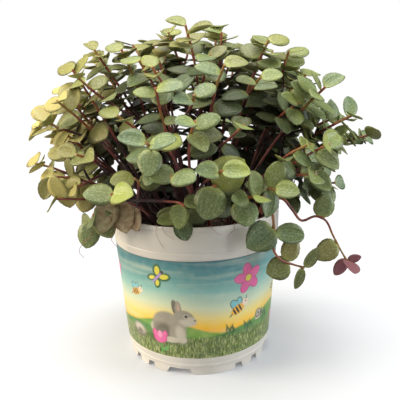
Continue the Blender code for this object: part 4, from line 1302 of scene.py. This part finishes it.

# %% [markdown]
# A stem of this vine is round and smooth, maroon low down, made darker there with painted
# shade, and orange-red near its tip, with a slight collar wherever a leaf clasps it. The
# routes become edges that carry two values, how thick the stem is and how far along it the
# point lies. The Geometry Nodes tree turns the edges into curves and sweeps a small circle
# along them, scaled by the first value. The second stays on the mesh for the material.

# %% Tree: stems from edges
stem_nodes, ends, out = new_group(
    "stems_from_edges", "GeometryNodeTree",
    [("Edges", "Geometry"), ("Sides", "Int", 7), ("Thickness", "Float", 0.85),
     ("Finish", "Material")],
    ("Stems", "Geometry"))
routes = add(stem_nodes, "GeometryNodeMeshToCurve", {0: ends["Edges"]})
girth = add(stem_nodes, "GeometryNodeInputNamedAttribute", {"Name": "girth"})
section = add(stem_nodes, "GeometryNodeCurvePrimitiveCircle",
              {"Resolution": ends["Sides"], "Radius": 1.0})
swept = add(stem_nodes, "GeometryNodeCurveToMesh",
            {"Curve": routes.outputs[0], "Profile Curve": section.outputs[0], "Fill Caps": True,
             "Scale": calc(stem_nodes, "MULTIPLY", girth.outputs[0], ends["Thickness"])})
hand_out(stem_nodes, ends, out, swept.outputs[0])


LEAST_SPANS, SPAN_LENGTH = 12, 0.0022
COLLAR, COLLAR_REACH = 0.38, 0.0016
# Where the colour of a stem hanging in the open starts, past the painted shade low down.
UNSHADED_START = 0.62


def edges_of(name, lines):
    """A mesh of edges from lines of (point, girth, share) triples."""
    places = [p for line in lines for p, _, _ in line]
    edges, start = [], 0
    for line in lines:
        edges += [(start + k, start + k + 1) for k in range(len(line) - 1)]
        start += len(line)
    mesh = bpy.data.meshes.new(name)
    mesh.from_pydata(places, edges, [])
    for label, column in (("girth", 1), ("share", 2)):
        values = mesh.attributes.new(label, "FLOAT", "POINT")
        values.data.foreach_set("value", [p[column] for line in lines for p in line])
    return mesh


def stem_line(stem):
    """A smooth line through a stem's points, with its girth swollen where leaves clasp it."""
    # A stem hanging in the open starts lighter, without the painted shade.
    unshaded_start = UNSHADED_START if stem.shoot in BARE_SHOOTS else 0.0
    count = max(LEAST_SPANS, round(stem.length() / SPAN_LENGTH))
    points = through(stem.points, count)
    line = []
    for k, point in enumerate(points):
        share = k / count
        near = min([(leaf[0] - point).length for leaf in stem.leaves] + [1.0])
        collar = 1 + COLLAR * math.exp(-(near / COLLAR_REACH) ** 2)
        line.append((point, stem.radius(share) * collar, unshaded_start + (1 - unshaded_start) * share))
    return line


print("tree", stem_nodes.name, "is ready")

# %% [markdown]
# The stems go from dark maroon at the soil, darkened there with painted shade, through
# red-brown to a greenish orange at the tip, with a little cloudiness, so that no two stems
# change at the same place. Stems that hang in the open start at red-brown, without the
# painted shade.

# %% Finish of the stems
stem_finish, tree, shader = new_material("stem_skin", Roughness=0.42)
share = add(tree, "ShaderNodeAttribute", attribute_name="share").outputs["Fac"]
share = calc(tree, "MULTIPLY_ADD", calc(tree, "SUBTRACT", cloudy(tree, 90), 0.5), 0.30, share)
# The darkest stops, near the soil, are painted shade over the stem's maroon.
tree.links.new(ramp(tree, share, (0.0, 34, 16, 14), (0.45, 60, 24, 24), (0.72, 120, 54, 46),
                    (0.90, 156, 84, 58), (1.0, 148, 112, 58)), shader.inputs["Base Color"])
bump(tree, shader, cloudy(tree, 1400, 0.3, 0.7), 0.25, 0.0002)
print("stem finish ready")

# %% [markdown]
# Every leaf is the same kind of thing: a broad oval blade with a short point, thick and
# slightly cupped, its edges meeting in a soft rim. A few variants with more or less cup and
# droop are drawn once, with 57 faces each. Their UV map runs across and along the blade, so
# that veins can follow its outline, and a face attribute marks the underside.

# %% Leaf blades
STATIONS = (0.0, 0.09, 0.24, 0.42, 0.62, 0.80, 0.93)
WIDEST = 0.42
BLADE_THICKNESS = 0.032
BLADE_SECTION = ((-1, 0), (-0.55, 1), (0, 0.86), (0.55, 1), (1, 0), (0.55, -1), (0, -1), (-0.55, -1))
UPPER_FACES = 4


def half_width(t):
    """Half the blade's width at a share of its length."""
    if t < WIDEST:
        return 0.5 * math.sqrt(max(1 - (1 - (t + 0.012) / (WIDEST + 0.012)) ** 2, 0.0))
    return 0.5 * (1 - ((t - WIDEST) / (1 - WIDEST)) ** 2.1) ** 0.72


def blade(name, cup, droop, curl):
    """One leaf blade, one unit long and wide, along +Y with its upper side to +Z."""
    bm = bmesh.new()
    sheet = bm.loops.layers.uv.new("UVMap")
    lower = bm.faces.layers.float.new("under")
    rings = []
    for t in STATIONS:
        half = half_width(t)
        ring = []
        for v, side in BLADE_SECTION:
            sink = droop * t * t + 0.02 * math.sin(math.pi * t)
            rise = cup * v * v * (half / 0.5) + curl * v * t - sink
            body = BLADE_THICKNESS * min(1.0, half * 2.4 + 0.15)
            ring.append((bm.verts.new((v * half, t, rise + side * body)), (v, t)))
        rings.append(ring)
    tip = (bm.verts.new((0, 1.0, -droop)), (0, 1.0))

    def close(corners, under):
        face = bm.faces.new([c[0] for c in corners])
        face.smooth = True
        face[lower] = under
        for loop, (_, (v, t)) in zip(face.loops, corners):
            loop[sheet].uv = (0.5 + 0.5 * v, t)

    n = len(BLADE_SECTION)
    for a, b in zip(rings, rings[1:]):
        for k in range(n):
            close((a[k], a[(k + 1) % n], b[(k + 1) % n], b[k]), float(k >= UPPER_FACES))
    for k in range(n):
        close((rings[-1][k], rings[-1][(k + 1) % n], tip), float(k >= UPPER_FACES))
    close(list(reversed(rings[0])), 1.0)
    bmesh.ops.recalc_face_normals(bm, faces=bm.faces)
    return bpy.data.objects.new(name, mesh_from(bm, name))


BLADES = ((0.10, 0.06, 0.0), (0.17, 0.13, 0.03), (0.06, 0.20, -0.03), (0.24, 0.02, 0.02),
          (0.02, 0.10, -0.05))
blades = bpy.data.collections.new("blades")
for i, bends in enumerate(BLADES):
    blades.objects.link(blade(f"blade_{i}", *bends))

# %% [markdown]
# The second tree puts a blade on every leaf's point. The points carry the leaf's turn and
# size for the instances, and five values that stay on the mesh for the material: its age,
# its olive tint and painted light (how olive it has grown, and how much paler and yellower
# it is painted at the plant's left, as if lit), how dry it is, its purple blush and how deep
# in the mound's shade it lies, which is painted on it as shade. Instances are lost on
# export, so they are realized.

# %% Tree: leaves on points
leaf_nodes, ends, out = new_group(
    "leaves_on_points", "GeometryNodeTree",
    [("Points", "Geometry"), ("Blades", "Collection"), ("Growth", "Float", 1.06),
     ("Seed", "Int", 3), ("Finish", "Material")],
    ("Leaves", "Geometry"))
shapes = add(leaf_nodes, "GeometryNodeCollectionInfo",
             {0: ends["Blades"], "Separate Children": True, "Reset Children": True})
which = add(leaf_nodes, "FunctionNodeRandomValue", {4: 0, 5: len(BLADES) - 1, 8: ends["Seed"]},
            data_type="INT")
turn, size = (add(leaf_nodes, "GeometryNodeInputNamedAttribute", {"Name": label},
                  data_type="FLOAT_VECTOR").outputs[0] for label in ("turn", "size"))
grown = add(leaf_nodes, "ShaderNodeVectorMath", {0: size, "Scale": ends["Growth"]},
            operation="SCALE")
placed = add(leaf_nodes, "GeometryNodeInstanceOnPoints",
             {"Points": ends["Points"], "Instance": shapes.outputs[0], "Pick Instance": True,
              "Instance Index": which.outputs[2], "Rotation": turn, "Scale": grown.outputs[0]})
hand_out(leaf_nodes, ends, out, placed.outputs[0])


# depth is painted shade: it darkens leaves deep in the mound.
LEAF_VALUES = ("age", "warmth", "dryness", "blush", "depth")


def painted_shade_of(place):
    """How deep in the mound's shade a place lies, from 0 to 1: the painted shade of its leaf."""
    reach = mound_share(place)
    low = max(0.0, 0.30 - reach.z) * max(0.0, 1.0 - 1.1 * math.hypot(reach.x, reach.y - 0.15))
    return min(0.94, max(0.0, 2.2 * (0.93 - reach.length)) + 1.1 * low)


def leaf_points(name, leaves):
    """A mesh of points, one for each (leaf, warmth, dryness, blush), as the tree reads it."""
    mesh = bpy.data.meshes.new(name)
    mesh.from_pydata([leaf[0] for leaf, *_ in leaves], [], [])
    turns, sizes = [], []
    for (base, along, normal, length, width, age, _), *_ in leaves:
        across = along.cross(normal)
        turns += Matrix((across, along, normal)).transposed().to_euler()
        full = 1 + 0.2 * (1 - min(age, 1.0))
        sizes += (width * full, length * full, length)
    for label, values in (("turn", turns), ("size", sizes)):
        mesh.attributes.new(label, "FLOAT_VECTOR", "POINT").data.foreach_set("vector", values)
    kept = [(leaf[5], warmth, dryness, blush, painted_shade_of(leaf[0] + leaf[1] * leaf[3]))
            for leaf, warmth, dryness, blush in leaves]
    for label, values in zip(LEAF_VALUES, zip(*kept)):
        mesh.attributes.new(label, "FLOAT", "POINT").data.foreach_set("value", values)
    return mesh


print("tree", leaf_nodes.name, "is ready")

# %% [markdown]
# The blade's colour is layered. A grey-green base drifts towards blue-green or olive from
# leaf to leaf, and young leaves are lime. The olive is stronger at the top and trailing
# ends, and at the plant's left the leaves are painted paler and yellower, as painted light.
# Pale parallel veins follow the outline, a fine silvery speckle covers the blade, and the
# rim is brownish. The underside is yellower and flushed with purple on some leaves. Dry
# leaves turn straw brown, and leaves deep in the mound are darkened with painted shade.

# %% Finish of the leaves
VEINS = 7
leaf_finish, tree, shader = new_material("leaf_skin", Roughness=0.46, Specular_IOR_Level=0.42)
values = {label: add(tree, "ShaderNodeAttribute", attribute_name=label).outputs["Fac"]
          for label in (*LEAF_VALUES, "under")}
sheet = split(tree, add(tree, "ShaderNodeUVMap", uv_map="UVMap").outputs[0])
cross, up = sheet["X"], sheet["Y"]
grown = ramp(tree, values["age"], (0.15, 166, 174, 62), (0.45, 136, 150, 68),
             (0.75, 116, 132, 72), (1.0, 104, 122, 72))
drifted = blend(tree, cloudy(tree, 24, 0.38, 0.62), grown, paint(98, 120, 88))
# Olive at the top and trailing ends; paler and yellower at the plant's left, as painted light.
olive_and_lit_tint = ramp(tree, values["warmth"], (0.0, 132, 138, 66), (0.5, 140, 126, 56),
              (1.0, 222, 206, 128))
colour = blend(tree, calc(tree, "MULTIPLY", values["warmth"], 1.4), drifted, olive_and_lit_tint)
colour = blend(tree, fade(tree, up, 0.22, 0.0, end=0.65), colour, paint(176, 184, 96))
vein_wave = calc(tree, "SINE", calc(tree, "MULTIPLY", cross, math.tau * VEINS))
colour = blend(tree, fade(tree, vein_wave, 0.55, 1.0, end=0.32), colour, paint(156, 168, 108))
speckle = calc(tree, "MULTIPLY", cloudy(tree, 1000, 0.50, 0.64, 2.0), 0.34)
colour = blend(tree, speckle, colour, paint(192, 198, 150))
from_middle = calc(tree, "ABSOLUTE", calc(tree, "MULTIPLY_ADD", cross, 2.0, -1.0))
colour = blend(tree, fade(tree, from_middle, 0.88, 1.0, end=0.45), colour, paint(118, 98, 66))
flush = calc(tree, "MULTIPLY", cloudy(tree, 36, 0.50, 0.66), 0.35)
under = blend(tree, flush, blend(tree, 0.5, colour, paint(136, 138, 66)), paint(128, 84, 72))
colour = blend(tree, values["under"], colour, under)
colour = blend(tree, values["blush"], colour, paint(142, 70, 98))
colour = blend(tree, values["dryness"], colour,
               blend(tree, cloudy(tree, 260), paint(232, 206, 164), paint(196, 150, 116)))
# Painted shade: leaves deep in the mound are darkened towards near black.
colour = blend(tree, values["depth"], colour, paint(26, 24, 8))
tree.links.new(colour, shader.inputs["Base Color"])
relief = calc(tree, "MULTIPLY_ADD", vein_wave, 0.35, cloudy(tree, 1100, 0.3, 0.7))
bump(tree, shader, relief, 0.22, 0.0003)
print("leaf finish ready")

# %% [markdown]
# The plant is handed over in quarters: front, right, back and left, each with its stems and
# its leaves. Every piece stands for the imported solids of the shoots in its quarter. Leaves
# at the plant's top and trailing ends are more olive, and those at its left are painted
# paler and yellower, as painted light.

# %% Stems and leaves
QUARTERS = ("right", "back", "left", "front")


def quarter_of(stem):
    """The side of the plant on which a stem's shoot ends."""
    while stem.host is not None:
        stem = stem.host
    tip = stem.points[-1]
    return QUARTERS[round(math.atan2(tip.y, tip.x) / (math.pi / 2)) % 4]


def olive_and_painted_light_of(leaf, rng):
    """How olive a leaf is, with painted light, from 0 to 1: more at the plant's left, where it is
    painted light, and at its top and trailing ends, where it is olive.
    """
    base = leaf[0]
    left = max(0.0, -base.x / MOUND_RADIUS)
    front = 0.75 - 0.35 * base.y / MOUND_RADIUS
    top = max(0.0, (base.z - MOUND_CENTRE - 0.03) / MOUND_RISE)
    hanging = 0.4 if base.z < 0.09 else 0.0
    return min(1.0, 1.1 * front * left * left + 0.6 * top + hanging + rng.uniform(-0.2, 0.25))


def blush_of(stem, leaf):
    """The leaves at the end of the longest trailing stem have turned purple."""
    return 0.8 if stem.shoot == "right_trailer" and leaf[0].z < 0.070 else 0.0


tint = random.Random(SEED + 2)
for quarter in QUARTERS:
    own = [s for s in stems if quarter_of(s) == quarter]
    shoots = sorted({s.shoot for s in own})
    made = run_tree(f"stems_{quarter}", stem_nodes, edges_of("routes", [stem_line(s) for s in own]),
                    {"Finish": stem_finish})
    made.data.shade_smooth()
    leaves = [(leaf, max(0.0, olive_and_painted_light_of(leaf, tint)), max(0.0, leaf[5] - 1.0), blush_of(s, leaf))
              for s in own for leaf in s.leaves]
    foliage = run_tree(f"leaves_{quarter}", leaf_nodes, leaf_points("places", leaves),
                       {"Blades": blades, "Finish": leaf_finish})
    for piece in (made, foliage):
        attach(piece, "root")
        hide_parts(*shoots)
    print(quarter, len(shoots), "shoots,", len(leaves), "leaves,",
          len(made.data.polygons) + len(foliage.data.polygons), "faces")

# %% [markdown]
# Where the vine touches damp air it puts out aerial roots, hair-fine and reddish. Some have
# crept over the rim and down the band, and two hang free on the left. They use the tree
# that made the stems.

# %% Aerial roots
ROOT_HAIRS = ((-66, 12, 3), (-61, 7, 5), (-55, 10, -4), (-46, 5, 6), (-25, 12, 4), (-21, 6, 7),
              (9, 4, 6), (24, 7, -6), (33, 9, 5), (57, 8, -4), (110, 9, 4), (150, 6, -5),
              (205, 10, 5), (240, 7, -3))
HAIR_SPANS, FREE_SPANS = 26, 16
FREE_ROOTS = [[(-61, -41, 106), (-63, -45, 96), (-69, -45, 90), (-72, -45, 85), (-69, -46, 81)],
              [(-50, -36, 112), (-49, -46, 101), (-51, -50, 94), (-47, -52, 89)]]
root_finish, tree, shader = new_material("root_hair", Roughness=0.6)
tree.links.new(blend(tree, cloudy(tree, 200), paint(168, 98, 82), paint(120, 72, 62)),
               shader.inputs["Base Color"])


def hair_line(points, spans, girth, thinning):
    """A line of (point, girth, share) triples that gets thinner towards its tip."""
    return [(p, girth - thinning * k / spans, 1.0) for k, p in enumerate(through(points, spans))]


def root_hair(turn, drop, sway, rng):
    """A hair over the rim: its angle from the front, its fall and its sideways drift in mm."""
    def place(radius, height, drift):
        angle = math.radians(turn - 90) + drift * 0.001 / RIM_RADIUS
        return Vector(round_axis(radius, angle, height))

    over = POT_HEIGHT - 0.0012
    points = [place(0.0440, SOIL_LEVEL + 0.004, -0.5 * sway), place(0.0520, 0.1000, -0.2 * sway),
              place(0.0556, POT_HEIGHT + 0.0006, 0.0), place(0.0570, over, 0.1 * sway)]
    for share in (0.3, 0.6, 1.0):
        drift = sway * share + rng.uniform(-1.2, 1.2)
        points.append(place(0.0571, over - drop * 0.001 * share, drift))
    return hair_line(points, HAIR_SPANS, 0.00022, 0.00014)


hairs = random.Random(SEED + 3)
lines = [root_hair(*values, hairs) for values in ROOT_HAIRS]
lines += [hair_line(millimetres(route), FREE_SPANS, 0.00024, 0.00008) for route in FREE_ROOTS]
roots = run_tree("aerial_roots", stem_nodes, edges_of("hairs", lines),
                 {"Finish": root_finish, "Sides": 5})
roots.data.shade_smooth()
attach(roots, "root")
print(len(lines), "aerial roots,", len(roots.data.polygons), "faces")
